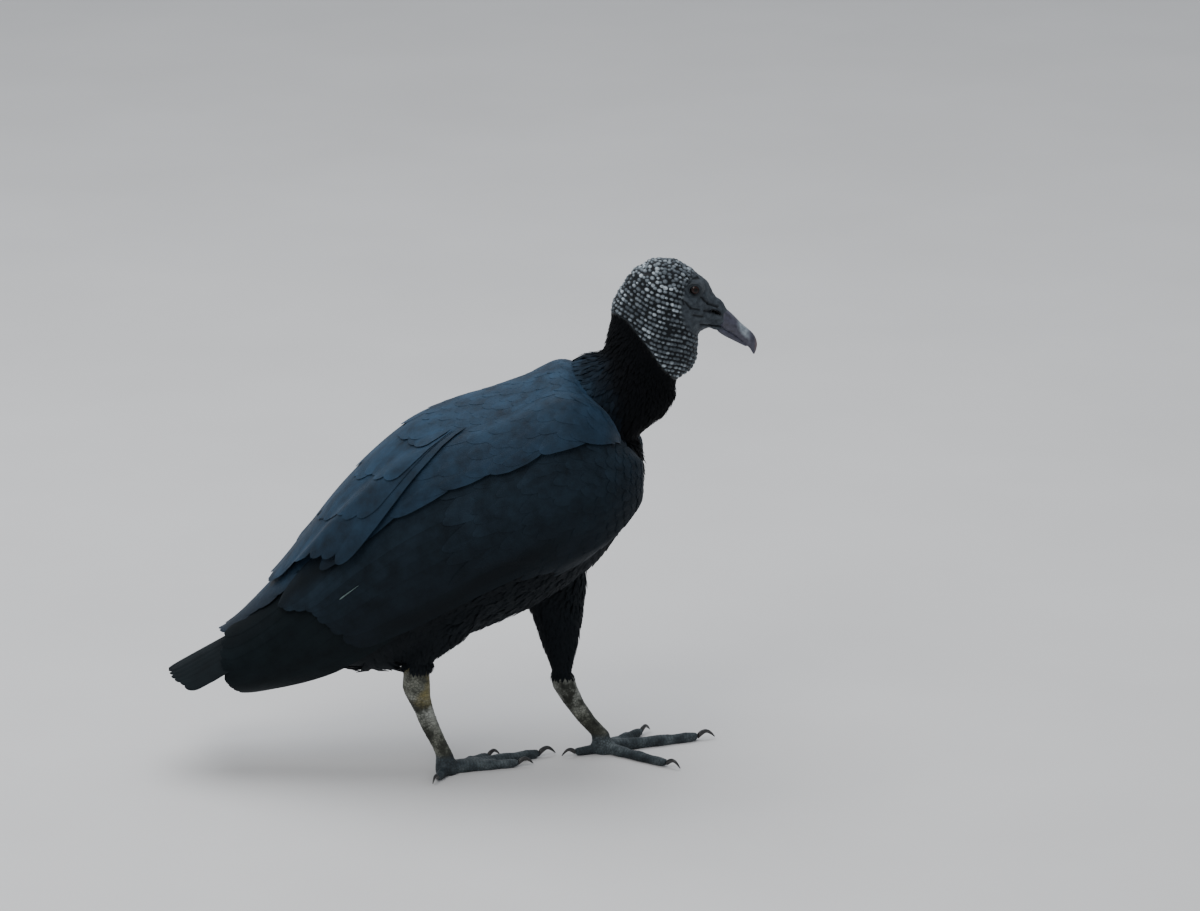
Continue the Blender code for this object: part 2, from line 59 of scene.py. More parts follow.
# ---------------------------------------------------------------------------------------------
# Chart of the flank: a place from the breast (0) back to the wing tips (15), and an angle in
# degrees down from the back. Rows: along, back, widest, belly, wing low, half width.
# ---------------------------------------------------------------------------------------------
FLANK_ROWS = (
    (176.0, 299.0, 296.0, 293.0, 293.0, 4.0),
    (172.5, 318.0, 296.0, 274.0, 274.0, 30.0),
    (163.0, 333.0, 292.0, 250.0, 250.0, 52.0),
    (148.0, 352.0, 290.0, 225.0, 225.0, 69.0),
    (128.0, 382.0, 288.0, 201.0, 201.0, 81.0),
    (100.0, 397.0, 283.0, 179.0, 178.0, 89.0),
    (68.0, 382.0, 272.0, 159.0, 157.0, 92.0),
    (34.0, 368.0, 258.0, 143.0, 141.0, 91.0),
    (0.0, 356.0, 242.0, 128.0, 125.0, 88.0),
    (-35.0, 339.0, 224.0, 111.0, 106.0, 83.0),
    (-70.0, 310.0, 202.0, 100.0, 93.0, 76.0),
    (-105.0, 272.0, 178.0, 99.0, 86.0, 67.0),
    (-135.0, 232.0, 156.0, 108.0, 85.0, 60.0),
    (-170.0, 187.0, 132.0, 120.0, 82.0, 52.0),
    (-200.0, 157.0, 114.0, 100.0, 78.0, 45.0),
    (-224.0, 137.0, 104.0, 95.0, 78.0, 38.0),
)
WING_LOW_ANGLES = (115, 115, 124, 129, 130, 129, 120, 112, 113, 118, 132, 145, 152, 156, 158, 158)


def table_at(rows, place):
    """The table's values at places between its rows, on a smooth curve through them."""
    table = np.asarray(rows, float)
    place = np.clip(place, 0.0, len(table) - 1.0)
    index = np.minimum(place.astype(int), len(table) - 2)
    part = (place - index)[..., None]
    before = table[np.maximum(index - 1, 0)]
    start = table[index]
    end = table[index + 1]
    after = table[np.minimum(index + 2, len(table) - 1)]
    first = (end - before) / 2
    last = (after - start) / 2
    square = part * part
    cube = square * part
    return (
        (2 * cube - 3 * square + 1) * start
        + (cube - 2 * square + part) * first
        + (3 * square - 2 * cube) * end
        + (cube - square) * last
    )


def ramp(value, start, end, low=0.0, high=1.0):
    """Goes smoothly from low to high while the value goes from start to end."""
    part = np.clip((np.asarray(value, float) - start) / (end - start), 0.0, 1.0)
    part = part * part * (3 - 2 * part)
    return low + (high - low) * part


def unit(vectors):
    return vectors / np.maximum(np.linalg.norm(vectors, axis=-1, keepdims=True), 1e-9)


def flank(place, angle):
    """Points of the flank, on the bird's left side."""
    rows = table_at(FLANK_ROWS, place)
    slant = np.radians(angle)
    along, back, widest, low, half = (rows[..., index] for index in (0, 1, 2, 4, 5))
    reach = np.where(angle <= 90.0, back - widest, widest - low)
    return np.stack([along + CENTRING, half * np.sin(slant), widest + reach * np.cos(slant)], axis=-1)


def flank_frame(place, angle):
    """Points of the flank, their outward directions, and millimetres per place and per degree."""
    step = 0.02
    forward = (flank(place - step, angle) - flank(place + step, angle)) / (2 * step)
    around = (flank(place, angle + 1.0) - flank(place, angle - 1.0)) / 2
    outward = unit(np.cross(forward, around))
    return flank(place, angle), outward, np.linalg.norm(forward, axis=-1), np.linalg.norm(around, axis=-1)


def wing_low(place):
    return table_at([[angle] for angle in WING_LOW_ANGLES], place)[..., 0]


# Heights over the flank of the layers of the folded wing, as the solids have them.
LAYER_GAP = 1.5
FEATHER_THICK = 2.2
SCAPULAR_THICK = 2.6
ARM_THICK = 9.0


def wing_inner(place):
    return ramp(place, 4.6, 6.6, 1.3 * LAYER_GAP, 2 * LAYER_GAP + FEATHER_THICK)


def wing_outer(place, angle):
    bulge = ramp(place, 3.4, 6.2, ARM_THICK, FEATHER_THICK)
    upper = np.minimum(bulge, ARM_THICK / 3)
    return wing_inner(place) + upper + (bulge - upper) * ramp(angle, 41.0, 60.0)


def scapular_outer(place, angle):
    over_wing = ramp(place, 3.4, 6.6, ARM_THICK + 2 * LAYER_GAP, 2 * FEATHER_THICK + 3 * LAYER_GAP + 0.3)
    return LAYER_GAP + (over_wing - LAYER_GAP) * ramp(angle, 26.0, 40.0) + SCAPULAR_THICK


def tertial_outer(place, angle):
    return scapular_outer(place, angle) + SCAPULAR_THICK + 2.0 * LAYER_GAP


# ---------------------------------------------------------------------------------------------
# Meshes
# ---------------------------------------------------------------------------------------------
def add_object(name, data):
    item = bpy.data.objects.new(name, data)
    bpy.context.scene.collection.objects.link(item)
    return item


def evaluated(item):
    """A new mesh of the item as its modifiers make it."""
    graph = bpy.context.evaluated_depsgraph_get()
    return bpy.data.meshes.new_from_object(item.evaluated_get(graph))


@contextmanager
def edited(mesh):
    """The mesh opened for editing and written back afterwards."""
    shape = bmesh.new()
    shape.from_mesh(mesh)
    yield shape
    shape.to_mesh(mesh)
    shape.free()


def joined_mesh(name, node_names):
    """A copy of one or more nodes' meshes, with the points that coincide made one."""
    shape = bmesh.new()
    for node_name in node_names:
        shape.from_mesh(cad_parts[node_name].data)
    bmesh.ops.remove_doubles(shape, verts=shape.verts, dist=0.00001)
    mesh = bpy.data.meshes.new(name)
    shape.to_mesh(mesh)
    shape.free()
    return mesh


def grow(item, distance):
    """Moves an item's surface outward by a distance in millimetres."""
    change = item.modifiers.new("grow", "DISPLACE")
    change.mid_level = 0.0
    change.strength = distance * MM


def object_from(name, points, loops, sizes, material):
    """A smooth object from points in millimetres and faces given as one run of corners."""
    mesh = bpy.data.meshes.new(name)
    mesh.vertices.add(len(points))
    mesh.vertices.foreach_set("co", (np.asarray(points, np.float32) * MM).ravel())
    mesh.loops.add(len(loops))
    mesh.loops.foreach_set("vertex_index", np.asarray(loops, np.int32))
    mesh.polygons.add(len(sizes))
    starts = np.concatenate([[0], np.cumsum(sizes)[:-1]]).astype(np.int32)
    mesh.polygons.foreach_set("loop_start", starts)
    mesh.polygons.foreach_set("loop_total", np.asarray(sizes, np.int32))
    mesh.update(calc_edges=True)
    mesh.validate()
    mesh.shade_smooth()
    mesh.materials.append(material)
    return add_object(name, mesh)


def point_attribute(item, name, values):
    """Sets a number at each point, or one for each feather's run of points."""
    values = np.asarray(values, np.float32).ravel()
    layer = item.data.attributes.new(name, "FLOAT", "POINT")
    layer.data.foreach_set("value", np.repeat(values, len(layer.data) // len(values)))


def point_data(mesh, name):
    values = np.empty(len(mesh.vertices) * 3, np.float32)
    mesh.vertices.foreach_get(name, values)
    return values.reshape(-1, 3).astype(float)


def mesh_points(mesh):
    return point_data(mesh, "co") / MM


def set_mesh_points(mesh, points):
    mesh.vertices.foreach_set("co", (points * MM).astype(np.float32).ravel())
    mesh.update()


def mesh_normals(mesh):
    return point_data(mesh, "normal")


# Width of each feather's patch on the OFBake map.
PATCH = 0.003


def tube(rings, sides):
    """Faces between rings of points, then a cap at each end: their corners and the corners' counts."""
    ring, place = np.meshgrid(np.arange(rings - 1) * sides, np.arange(sides), indexing="ij")
    following = (place + 1) % sides
    quads = np.stack([ring + place, ring + following, ring + sides + following, ring + sides + place], -1)
    caps = [np.arange(sides)[::-1], (rings - 1) * sides + np.arange(sides)]
    return np.concatenate([quads.ravel(), *caps]), [4] * (quads.size // 4) + [sides, sides]


def vane_object(name, top, thick, tone, roots, material):
    """One object of closed feathers.

    top holds the points of their upper sides (feather, ring, column, xyz), thick how far their
    undersides lie below (the two edge columns are shared), tone a number for each feather, and
    roots each root's place on the unwrap of the skin.
    """
    count, rings, columns, _ = top.shape
    outward = unit(np.cross(np.gradient(top, axis=2), np.gradient(top, axis=1)))
    under = top - outward * np.broadcast_to(thick, top.shape[:3])[..., None]
    points = np.concatenate([top, under[:, :, -2:0:-1]], axis=2)
    wide = points.shape[2]
    per_feather = rings * wide
    corners, sizes = tube(rings, wide)
    loops = (corners[None, :] + per_feather * np.arange(count)[:, None]).ravel()
    item = object_from(name, points.reshape(-1, 3), loops, np.tile(sizes, count), material)
    item.data.set_sharp_from_angle(angle=0.9)
    # Each feather is a patch at its root's place, with its columns across and its rings along.
    span = np.linspace(0.0, 1.0, columns)
    across = np.concatenate([span, span[-2:0:-1]])
    along = np.linspace(0.0, 1.0, rings)
    grid = np.stack(np.broadcast_arrays(across[None, :], along[:, None]), axis=-1).reshape(-1, 2)
    corner = np.empty(len(item.data.loops), np.int32)
    item.data.loops.foreach_get("vertex_index", corner)
    patches = np.asarray(roots)[corner // per_feather] + PATCH * (grid[corner % per_feather] - 0.5)
    item.data.uv_layers.new(name="OFBake").data.foreach_set("uv", patches.astype(np.float32).ravel())
    point_attribute(item, "tone", tone)
    point_attribute(item, "along", np.broadcast_to(along[None, :, None], (count, rings, wide)))
    # Distance along the shaft, less part of the distance from it: the line that a barb follows.
    shaft = top[:, :, columns // 2]
    run = np.linalg.norm(np.diff(shaft, axis=1), axis=2).cumsum(axis=1)
    run = np.concatenate([np.zeros((count, 1)), run], axis=1)
    off = np.linalg.norm(points - shaft[:, :, None], axis=3)
    point_attribute(item, "barb", run[:, :, None] - 0.7 * off)
    return item


def area_samples(points, faces, spacing, keep, seed):
    """Scattered places on triangles, no nearer to each other than spacing, where keep is true."""
    draw = np.random.default_rng(seed)
    corners = points[faces]
    centre = corners.mean(axis=1)
    reach = spacing(centre)
    area = np.linalg.norm(np.cross(corners[:, 1] - corners[:, 0], corners[:, 2] - corners[:, 0]), axis=1) / 2
    weight = np.where(keep(centre), area / reach**2, 0.0)
    wanted = int(weight.sum() * 3.0)
    chosen = draw.choice(len(faces), size=wanted, p=weight / weight.sum())
    split = np.sqrt(draw.random(wanted))[:, None]
    share = draw.random(wanted)[:, None]
    place = corners[chosen, 0] * (1 - split) + corners[chosen, 1] * (split * (1 - share))
    place = place + corners[chosen, 2] * (split * share)
    gap = spacing(place)
    cell = float(gap.max())
    keys = np.floor(place / cell).astype(int)
    grid = {}
    taken = []
    near = [(i, j, k) for i in (-1, 0, 1) for j in (-1, 0, 1) for k in (-1, 0, 1)]
    for index in range(wanted):
        key = tuple(keys[index])
        spot = place[index]
        limit = gap[index] ** 2
        free = True
        for step in near:
            for other in grid.get((key[0] + step[0], key[1] + step[1], key[2] + step[2]), ()):
                apart = place[other] - spot
                if apart[0] * apart[0] + apart[1] * apart[1] + apart[2] * apart[2] < limit:
                    free = False
                    break
            if not free:
                break
        if free:
            grid.setdefault(key, []).append(index)
            taken.append(index)
    return place[taken]


# ---------------------------------------------------------------------------------------------
# Skin: every node of flesh in one closed mesh, drawn in by the depth of the coat
# ---------------------------------------------------------------------------------------------
FLESH = ["trunk", "neck", "head"]
FLESH += [f"{part}_{side}" for part in ("thigh", "shank", "foot") for side, _ in SIDES]
WING_FLESH = [f"wing_{side}" for side, _ in SIDES]
BILL = ["bill_upper", "bill_lower"]
SKIN_VOXEL = 2.3
SKIN_GROWTH = 0.3
SMOOTH_STEPS = 24
COAT_DEPTH = 4.0
NECK_COAT = 2.6
ARM_REST = 4.5

# The bill's skin runs into the horn up to this place. The nostril is a slit right through it.
CERE_END = 258.0
NOSTRIL = (243.2, 452.4)
NOSTRIL_TILT = math.radians(-28.0)
NOSTRIL_HALF = (4.2, 1.15)

# The bare head ends in a plane through its nape and throat: a point of it and its normal, which
# points to the neck.
HOOD_NAPE = np.array([144.5, 0.0, 452.0])
HOOD_THROAT = np.array([207.5, 0.0, 386.5])
# How far the edge bows toward the face on the sides, by its share of the way from nape to throat.
HOOD_BOW = ((-0.05, 0.05, 0.15, 0.28, 0.46, 0.61, 0.78, 1.0), (0.0, 5.0, 8.6, 7.6, 6.4, 3.8, 0.8, 0.0))
HOOD_NORMAL = unit(np.array([HOOD_THROAT[2] - HOOD_NAPE[2], 0.0, HOOD_NAPE[0] - HOOD_THROAT[0]]))
# Square of the distance from the nape to the throat.
HOOD_SPAN = 8222.0
THIGH_FOOT = {"right": (-39.5 + CENTRING, -34.4, 101.0), "left": (99.0 + CENTRING, 32.8, 78.0)}


def below_hood(points):
    """Distance beyond the bare head's edge, toward the neck. The edge bows toward the face."""
    away = points - HOOD_NAPE
    share = (away @ (HOOD_THROAT - HOOD_NAPE)) / HOOD_SPAN
    return away @ HOOD_NORMAL + np.interp(share, *HOOD_BOW) * ramp(np.abs(points[..., 1]), 2.0, 17.0)


def on_neck(points):
    """1 on the neck and the body, 0 on the bare head."""
    return ramp(below_hood(points), -0.5, 1.5)


def leg_bare(points):
    """1 on the bare shanks and feet, 0 on feathered parts."""
    beside = np.hypot(points[..., 0] - THIGH_FOOT["right"][0] - 5.0, points[..., 1] - THIGH_FOOT["right"][1])
    right = ramp(points[..., 2], 115.0, 110.0) * ramp(beside, 31.0, 27.0)
    left = ramp(points[..., 2], 82.0, 77.0) * (points[..., 0] > 25.0) * (points[..., 1] > -40.0)
    low = ramp(points[..., 2], 60.0, 50.0)
    return np.maximum(np.maximum(right, left), low)


def eye_ball(side_name):
    """The middle and the radius of an eye's solid."""
    low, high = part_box(f"eye_{side_name}")
    return (np.array(low) + np.array(high)) / 2 / MM, (high.x - low.x) / 2 / MM


def flesh_mesh():
    """The flesh and the bill as one even mesh, cut off where the horn begins."""
    item = add_object("flesh", joined_mesh("flesh", [*FLESH, *BILL]))
    grow(item, SKIN_GROWTH)
    remesh = item.modifiers.new("remesh", "REMESH")
    remesh.mode = "VOXEL"
    remesh.voxel_size = SKIN_VOXEL * MM
    result = evaluated(item)
    bpy.data.objects.remove(item, do_unlink=True)
    with edited(result) as shape:
        verts = [vert for vert in shape.verts if vert.co.x > 0.2 and vert.co.z > 0.38]
        near = set(verts)
        edges = [edge for edge in shape.edges if near.issuperset(edge.verts)]
        faces = [face for face in shape.faces if near.issuperset(face.verts)]
        cut = bmesh.ops.bisect_plane(
            shape,
            geom=[*verts, *edges, *faces],
            plane_co=(CERE_END * MM, 0.0, 0.44),
            plane_no=(0.9, 0.0, -0.45),
            clear_outer=True,
        )
        rim = [part for part in cut["geom_cut"] if isinstance(part, bmesh.types.BMEdge)]
        bmesh.ops.contextual_create(shape, geom=rim)
    return result


def mesh_edges(mesh):
    edges = np.empty(len(mesh.edges) * 2, np.int32)
    mesh.edges.foreach_get("vertices", edges)
    return edges.reshape(-1, 2)


def smoothed(points, edges, steps, back=-0.52):
    """Evens the points out over their neighbours; each step's way back keeps the shape from shrinking."""
    count = len(points)
    degree = np.bincount(edges.ravel(), minlength=count).astype(float)
    for step in range(2 * steps):
        mean = np.empty_like(points)
        for axis in range(3):
            total = np.bincount(edges[:, 0], weights=points[edges[:, 1], axis], minlength=count)
            total += np.bincount(edges[:, 1], weights=points[edges[:, 0], axis], minlength=count)
            mean[:, axis] = total / degree
        points = points + (mean - points) * (0.5 if step % 2 == 0 else back)
    return points


def flank_place(points):
    """Place and angle on the flank chart of points of the body."""
    dense = np.linspace(0.0, 15.0, 601)
    rows = table_at(FLANK_ROWS, dense)
    place = np.interp(-points[:, 0], -(rows[:, 0] + CENTRING), dense)
    row = table_at(FLANK_ROWS, place)
    rise = points[:, 2] - row[:, 2]
    reach = np.where(rise > 0, row[:, 1] - row[:, 2], row[:, 2] - row[:, 4])
    angle = np.degrees(np.arctan2(np.abs(points[:, 1]) / row[:, 5], rise / np.maximum(reach, 1.0)))
    return place, angle


def arm_bulge(points):
    """How far the folded arm lifts the skin of the flank."""
    place, angle = flank_place(points)
    low = wing_low(place)
    front = ramp(place, 0.75, 1.9) * ramp(place, 8.0, 5.4)
    across = ramp(angle, 46.0, 70.0) * ramp(angle, low + 3.0, low - 16.0)
    return front * across * ramp(np.abs(points[:, 1]), 20.0, 34.0) * (below_hood(points) > 60.0)


def subdivide_where(mesh, chosen):
    """Cuts each face whose corners are all chosen into four."""
    with edited(mesh) as shape:
        faces = [face for face in shape.faces if all(chosen[vert.index] for vert in face.verts)]
        edges = {edge for face in faces for edge in face.edges}
        bmesh.ops.subdivide_edges(shape, edges=list(edges), cuts=1, use_grid_fill=True, smooth=0.0)


# Feet: the middle of each foot, then each toe's heading in degrees from +X toward +Y and its length.
FEET = {"right": (-11.0 + CENTRING, -27.0), "left": (139.0 + CENTRING, 36.0)}
TOES = {
    "right": ((15.0, 70.0), (28.0, 99.0), (45.0, 54.0), (252.0, 27.0)),
    "left": ((-37.0, 76.0), (21.0, 98.0), (54.0, 62.0), (205.0, 30.0)),
}

# The smooth face round the eye and gape, and the rows of warts, which fall forward across the cheek.
FACE_CENTRE = np.array([231.0, 0.0, 460.0])
ROW_TILT = math.radians(25.0)
ROW_STEP = 4.3
WART_GAP = 2.9
WART_LENGTH = 2.45
WART_WIDTH = 1.75
WART_RISE = 1.25
EYE_OPENING = 4.25
EYE_HIGH = 0.88
# The bare head lies above this height.
HEAD_LOW = 383.0
# Creases of the face in the side view: two (along, up) ends, depth and width.
CREASES = (
    ((229.5, 469.0), (236.0, 461.5), 1.3, 1.0),
    ((236.0, 461.5), (244.5, 456.5), 1.1, 1.0),
    ((214.0, 466.5), (219.5, 459.5), 0.9, 1.0),
    ((219.5, 459.5), (227.5, 457.5), 0.9, 1.0),
    ((210.5, 474.0), (213.0, 464.0), 0.8, 1.1),
    ((222.0, 452.5), (231.0, 450.0), 0.6, 1.2),
    ((215.0, 487.5), (230.0, 484.5), 0.8, 1.2),
    ((232.5, 455.5), (238.5, 453.5), 0.8, 1.2),
    ((238.5, 453.5), (248.0, 449.5), 0.9, 1.9),
    ((250.0, 435.5), (229.0, 441.5), 1.2, 1.0),
    ((199.5, 466.0), (200.5, 459.0), 1.5, 2.0),
)
# Scales of the legs: between small plates, and from scute to scute of the toes and the shanks.
PLATE_GAP = 2.0
TOE_SCUTE = 3.3
SHANK_SCUTE = 4.2


def face_distance(points):
    """Distance from the face's centre."""
    away = points - FACE_CENTRE
    return np.sqrt(away[..., 0] ** 2 + 0.55 * away[..., 1] ** 2 + 0.8 * away[..., 2] ** 2)


def row_height(points):
    """Height across the rows of warts, which waver a little."""
    waver = 1.1 * np.sin(points[..., 0] / 9.0) + 0.8 * np.sin(points[..., 1] / 7.0 + points[..., 0] / 15.0)
    return points[..., 0] * np.sin(ROW_TILT) + points[..., 2] * np.cos(ROW_TILT) + waver


def row_hold(points):
    """1 where the warts keep to rows, 0 on the crown, where they scatter."""
    return ramp(points[..., 2], 484.0, 468.0)


def wart_mask(points):
    """1 where the bare skin is warty, 0 on the smooth face."""
    ahead = ramp(points[..., 0], 234.0, 230.0)
    return ramp(face_distance(points), 26.0, 31.0) * ramp(below_hood(points), 1.6, 0.6) * ahead


def nearest_two(centres, points):
    """Distances from each point to its two nearest centres, and the nearest one's number."""
    tree = KDTree(len(centres))
    for index, centre in enumerate(centres):
        tree.insert(centre, index)
    tree.balance()
    found = [tree.find_n(point, 2) for point in points]
    first = np.array([near[0][2] for near in found])
    second = np.array([near[1][2] for near in found])
    return first, second, np.array([near[0][1] for near in found])


def triangles(mesh):
    mesh.calc_loop_triangles()
    faces = np.empty(len(mesh.loop_triangles) * 3, np.int32)
    mesh.loop_triangles.foreach_get("vertices", faces)
    return faces.reshape(-1, 3)


def tree_of(points, faces):
    """A search tree of triangles. Rounding to a micrometre keeps it the same from run to run."""
    return BVHTree.FromPolygons((np.round(points, 3) + 0.0).tolist(), faces.tolist())


def wart_places(points, faces, tree):
    """Middles of the warts: scattered, then drawn onto rows."""
    places = area_samples(
        points,
        faces,
        spacing=lambda spot: np.full(len(spot), 0.72 * WART_GAP),
        keep=lambda spot: (wart_mask(spot) > 0.05) & (below_hood(spot) < 0.9) & (spot[..., 2] > 380.0),
        seed=11,
    )
    slope = np.array([math.sin(ROW_TILT), 0.0, math.cos(ROW_TILT)])
    for _ in range(3):
        height = row_height(places)
        wanted = (np.floor(height / ROW_STEP) + 0.5) * ROW_STEP
        places = places + slope * ((wanted - height) * 0.75 * row_hold(places))[:, None]
        places = np.array([tree.find_nearest(place)[0] for place in places])
    wanted = WART_GAP + 0.9 * ramp(places[:, 0], 185.0, 150.0)
    kept = []
    for index, place in enumerate(places):
        if not kept or np.linalg.norm(places[kept] - place, axis=1).min() > wanted[index]:
            kept.append(index)
    return places[kept]


def segment_distance(points, start, end):
    """Distance in the side view from points to a line between two (along, up) places."""
    start = np.array(start)
    line = np.array(end) - start
    away = points[:, [0, 2]] - start
    share = np.clip(away @ line / (line @ line), 0.0, 1.0)
    return np.linalg.norm(away - share[:, None] * line, axis=1)


def near_line(points, start, end, width):
    """1 on a line of the side view, falling to 0 away from it."""
    return np.exp(-((segment_distance(points, start, end) / width) ** 2))


def sculpt_head(points, normals):
    """Folds and creases of the bare head. Returns the points, the warty share and the painted shade in the
    creases and round the nostril.
    """
    head = (1.0 - on_neck(points)) * (points[:, 2] > HEAD_LOW)
    mask = wart_mask(points) * head
    height = row_height(points)
    push = mask * (0.35 * np.cos(2 * math.pi * height / (3.0 * ROW_STEP)) - 0.3)
    push -= mask * 0.55 * row_hold(points) * (0.5 + 0.5 * np.cos(2 * math.pi * height / ROW_STEP))
    nostril_back = (NOSTRIL[0] - 3.0, NOSTRIL[1] + 1.6)
    nostril_front = (NOSTRIL[0] + 3.0, NOSTRIL[1] - 1.6)
    # Painted shade round the nostril and in each crease, where shade falls.
    dark = head * ramp(segment_distance(points, nostril_back, nostril_front), 2.6, 1.2)
    for start, end, depth, width in CREASES:
        crease = head * near_line(points, start, end, width) * (np.abs(points[:, 1]) > 6.0)
        push -= 1.25 * depth * crease
        dark = np.maximum(dark, crease)
    eye, _ = eye_ball("right")
    away = points[:, [0, 2]] - eye[[0, 2]]
    ring = np.hypot(away[:, 0], away[:, 1])
    beside = np.abs(points[:, 1]) > 8.0
    behind = ramp(away[:, 0] * 0.8 - away[:, 1] * 0.6, 9.0, -2.0) * beside
    wavy = ring + 0.9 * np.sin(3.0 * np.arctan2(away[:, 1], away[:, 0]))
    ringed = ramp(ring, 7.0, 8.5) * ramp(ring, 17.5, 14.0)
    push += head * behind * 0.33 * np.cos(2 * math.pi * wavy / 3.1) * ringed
    wrinkle = np.sin(points[:, 0] / 1.15 + 1.6 * np.sin(points[:, 2] / 3.3))
    wrinkle *= np.sin(points[:, 2] / 1.7 + points[:, 0] / 2.6)
    push += 0.3 * wrinkle * head * ramp(face_distance(points), 33.0, 27.0)
    # The forehead's bump, the brow over the eye and the cheek below it.
    front = near_line(points, (236.5, 477.0), (249.0, 459.5), 6.5)
    lift = 2.6 * front * np.exp(-((points[:, 1] / 10.0) ** 2)) * head
    push += head * 0.9 * near_line(points, (214.0, 485.5), (229.5, 482.0), 2.6) * beside
    push += head * 0.5 * near_line(points, (219.0, 466.0), (229.0, 463.0), 3.0) * beside
    points = points + normals * push[:, None] + np.array([0.82, 0.0, 0.57]) * lift[:, None]
    # The chin rises toward the lower bill.
    points[:, 2] += head * 3.0 * ramp(points[:, 0], 231.0, 247.0) * ramp(points[:, 2], 441.0, 430.0)
    return points, mask, dark


def sculpt_lids(points):
    """Draws the skin round each eye into a rim that lies on the ball, with two folds beyond it."""
    # Distances beyond the opening's edge, and how far the skin there lies outside the rim.
    steps = (-0.15, 0.35, 1.2, 1.9, 2.6, 3.6, 4.6)
    heights = (-0.1, 0.55, 0.35, -0.35, -0.05, -0.75, -1.2)
    for side_name, side in SIDES:
        eye, ball = eye_ball(side_name)
        near = points[:, 1] * side > 8.0
        radius = np.hypot(points[:, 0] - eye[0], (points[:, 2] - eye[2]) / EYE_HIGH)
        rim = abs(eye[1]) + math.sqrt(ball**2 - EYE_OPENING**2)
        inside = abs(eye[1]) - 3.0
        target = np.interp(
            radius,
            [0.0, EYE_OPENING - 0.5, *(EYE_OPENING + step for step in steps)],
            [inside, inside, *(rim + height for height in heights)],
        )
        hold = ramp(radius, EYE_OPENING + 6.0, EYE_OPENING + 2.2) * near
        depth = points[:, 1] * side
        points[:, 1] = side * (depth + (target - depth) * hold)
    return points


def raise_warts(points, normals, mask, centres):
    """Lifts a bead over each wart's middle. Returns the points, their beads, whose paleness is partly a
    painted highlight, and the painted shade between them and round the eyes.
    """
    draw = np.random.default_rng(5)
    size = draw.uniform(0.72, 1.2, len(centres))
    # How pale each bead's top is, partly the skin's own pale tone and partly a painted highlight: random,
    # varying over the head, and paler on the crown, which the light from above strikes.
    pale = 0.3 + 0.85 * draw.random(len(centres)) ** 2.0
    pale *= 0.88 + 0.3 * np.sin(centres[:, 0] / 9.0 + 1.5 * np.sin(centres[:, 2] / 11.0))
    pale *= ramp(centres[:, 2], 455.0, 486.0, 0.9, 1.3)
    index = np.flatnonzero(mask > 0.02)
    first, _, owner = nearest_two(centres, points[index])
    rise = row_height(points[index]) - row_height(centres[owner])
    run = np.maximum(first**2 - rise**2, 0.0)
    dome = 1.0 - run / (WART_LENGTH * size[owner]) ** 2 - (rise / (WART_WIDTH * size[owner])) ** 2
    bead = np.zeros(len(points))
    bead[index] = np.sqrt(np.clip(dome, 0.0, 1.0)) * np.clip(mask[index], 0.0, 1.0)
    points = points + normals * (bead * WART_RISE)[:, None]
    # Painted shade in the gaps between the beads and round each eye.
    gap = mask * (1.0 - np.clip(bead * 2.5, 0.0, 1.0))
    for side_name, _ in SIDES:
        eye, _ = eye_ball(side_name)
        gap = np.maximum(gap, 0.8 * np.exp(-((np.linalg.norm(points - eye, axis=1) / 8.5) ** 4)))
    bead[index] *= pale[owner]
    return points, bead, gap


def toe_places(points):
    """For each point of a foot: distance along its nearest toe, from its axis, and the toe's number."""
    along = []
    apart = []
    for side_name, _ in SIDES:
        for heading, length in TOES[side_name]:
            forward = np.array([math.cos(math.radians(heading)), math.sin(math.radians(heading))])
            away = points[:, :2] - np.array(FEET[side_name])
            run = away @ forward
            along.append(run)
            apart.append(np.linalg.norm(away - np.clip(run, 0.0, length)[:, None] * forward, axis=1))
    nearest = np.argmin(apart, axis=0)
    every = np.arange(len(points))
    return np.array(along)[nearest, every], np.array(apart)[nearest, every], nearest + 1


def band(number, edge):
    """1 in the middle of each whole step of a number, falling to 0 at its ends from this edge on."""
    return ramp(np.abs(number - np.floor(number) - 0.5), 0.5, edge)


def sculpt_legs(points, normals, faces):
    """Scutes across the tops of the toes and down the front of the shanks, small plates elsewhere."""
    bare = leg_bare(points)
    centres = area_samples(
        points,
        faces,
        spacing=lambda spot: np.full(len(spot), PLATE_GAP),
        keep=lambda spot: (leg_bare(spot) > 0.3) & (spot[..., 2] > 0.6),
        seed=23,
    )
    index = np.flatnonzero(bare > 0.05)
    first, second, _ = nearest_two(centres, points[index])
    plates = np.zeros(len(points))
    plates[index] = ramp(second - first, 0.0, 1.1)
    along, apart, toe_number = toe_places(points)
    toe_top = (points[:, 2] < 13.0) * (along > 9.0) * ramp(normals[:, 2], 0.15, 0.55) * ramp(apart, 6.5, 5.0)
    scutes = band(along / TOE_SCUTE + 0.37 * toe_number, 0.36)
    shank_front = ramp(points[:, 2], 17.0, 24.0) * ramp(normals[:, 0], 0.25, 0.6)
    front = band(points[:, 2] / SHANK_SCUTE, 0.4)
    relief = plates * (1 - toe_top) * (1 - shank_front) + scutes * toe_top
    relief += front * shank_front * (1 - toe_top)
    push = bare * ramp(points[:, 2], 0.4, 1.4) * (0.36 * (relief - 1.0))
    points = points + normals * push[:, None]
    # The near shank is stout behind.
    stout = (points[:, 1] < 12.0) * (points[:, 0] < 20.0)
    stout = stout * ramp(points[:, 2], 24.0, 55.0) * ramp(points[:, 2], 104.0, 80.0)
    points[:, 0] -= 4.5 * stout * ramp(normals[:, 0], 0.9, -0.6)
    points[:, 2] = np.maximum(points[:, 2], 0.0)
    return points, relief * bare


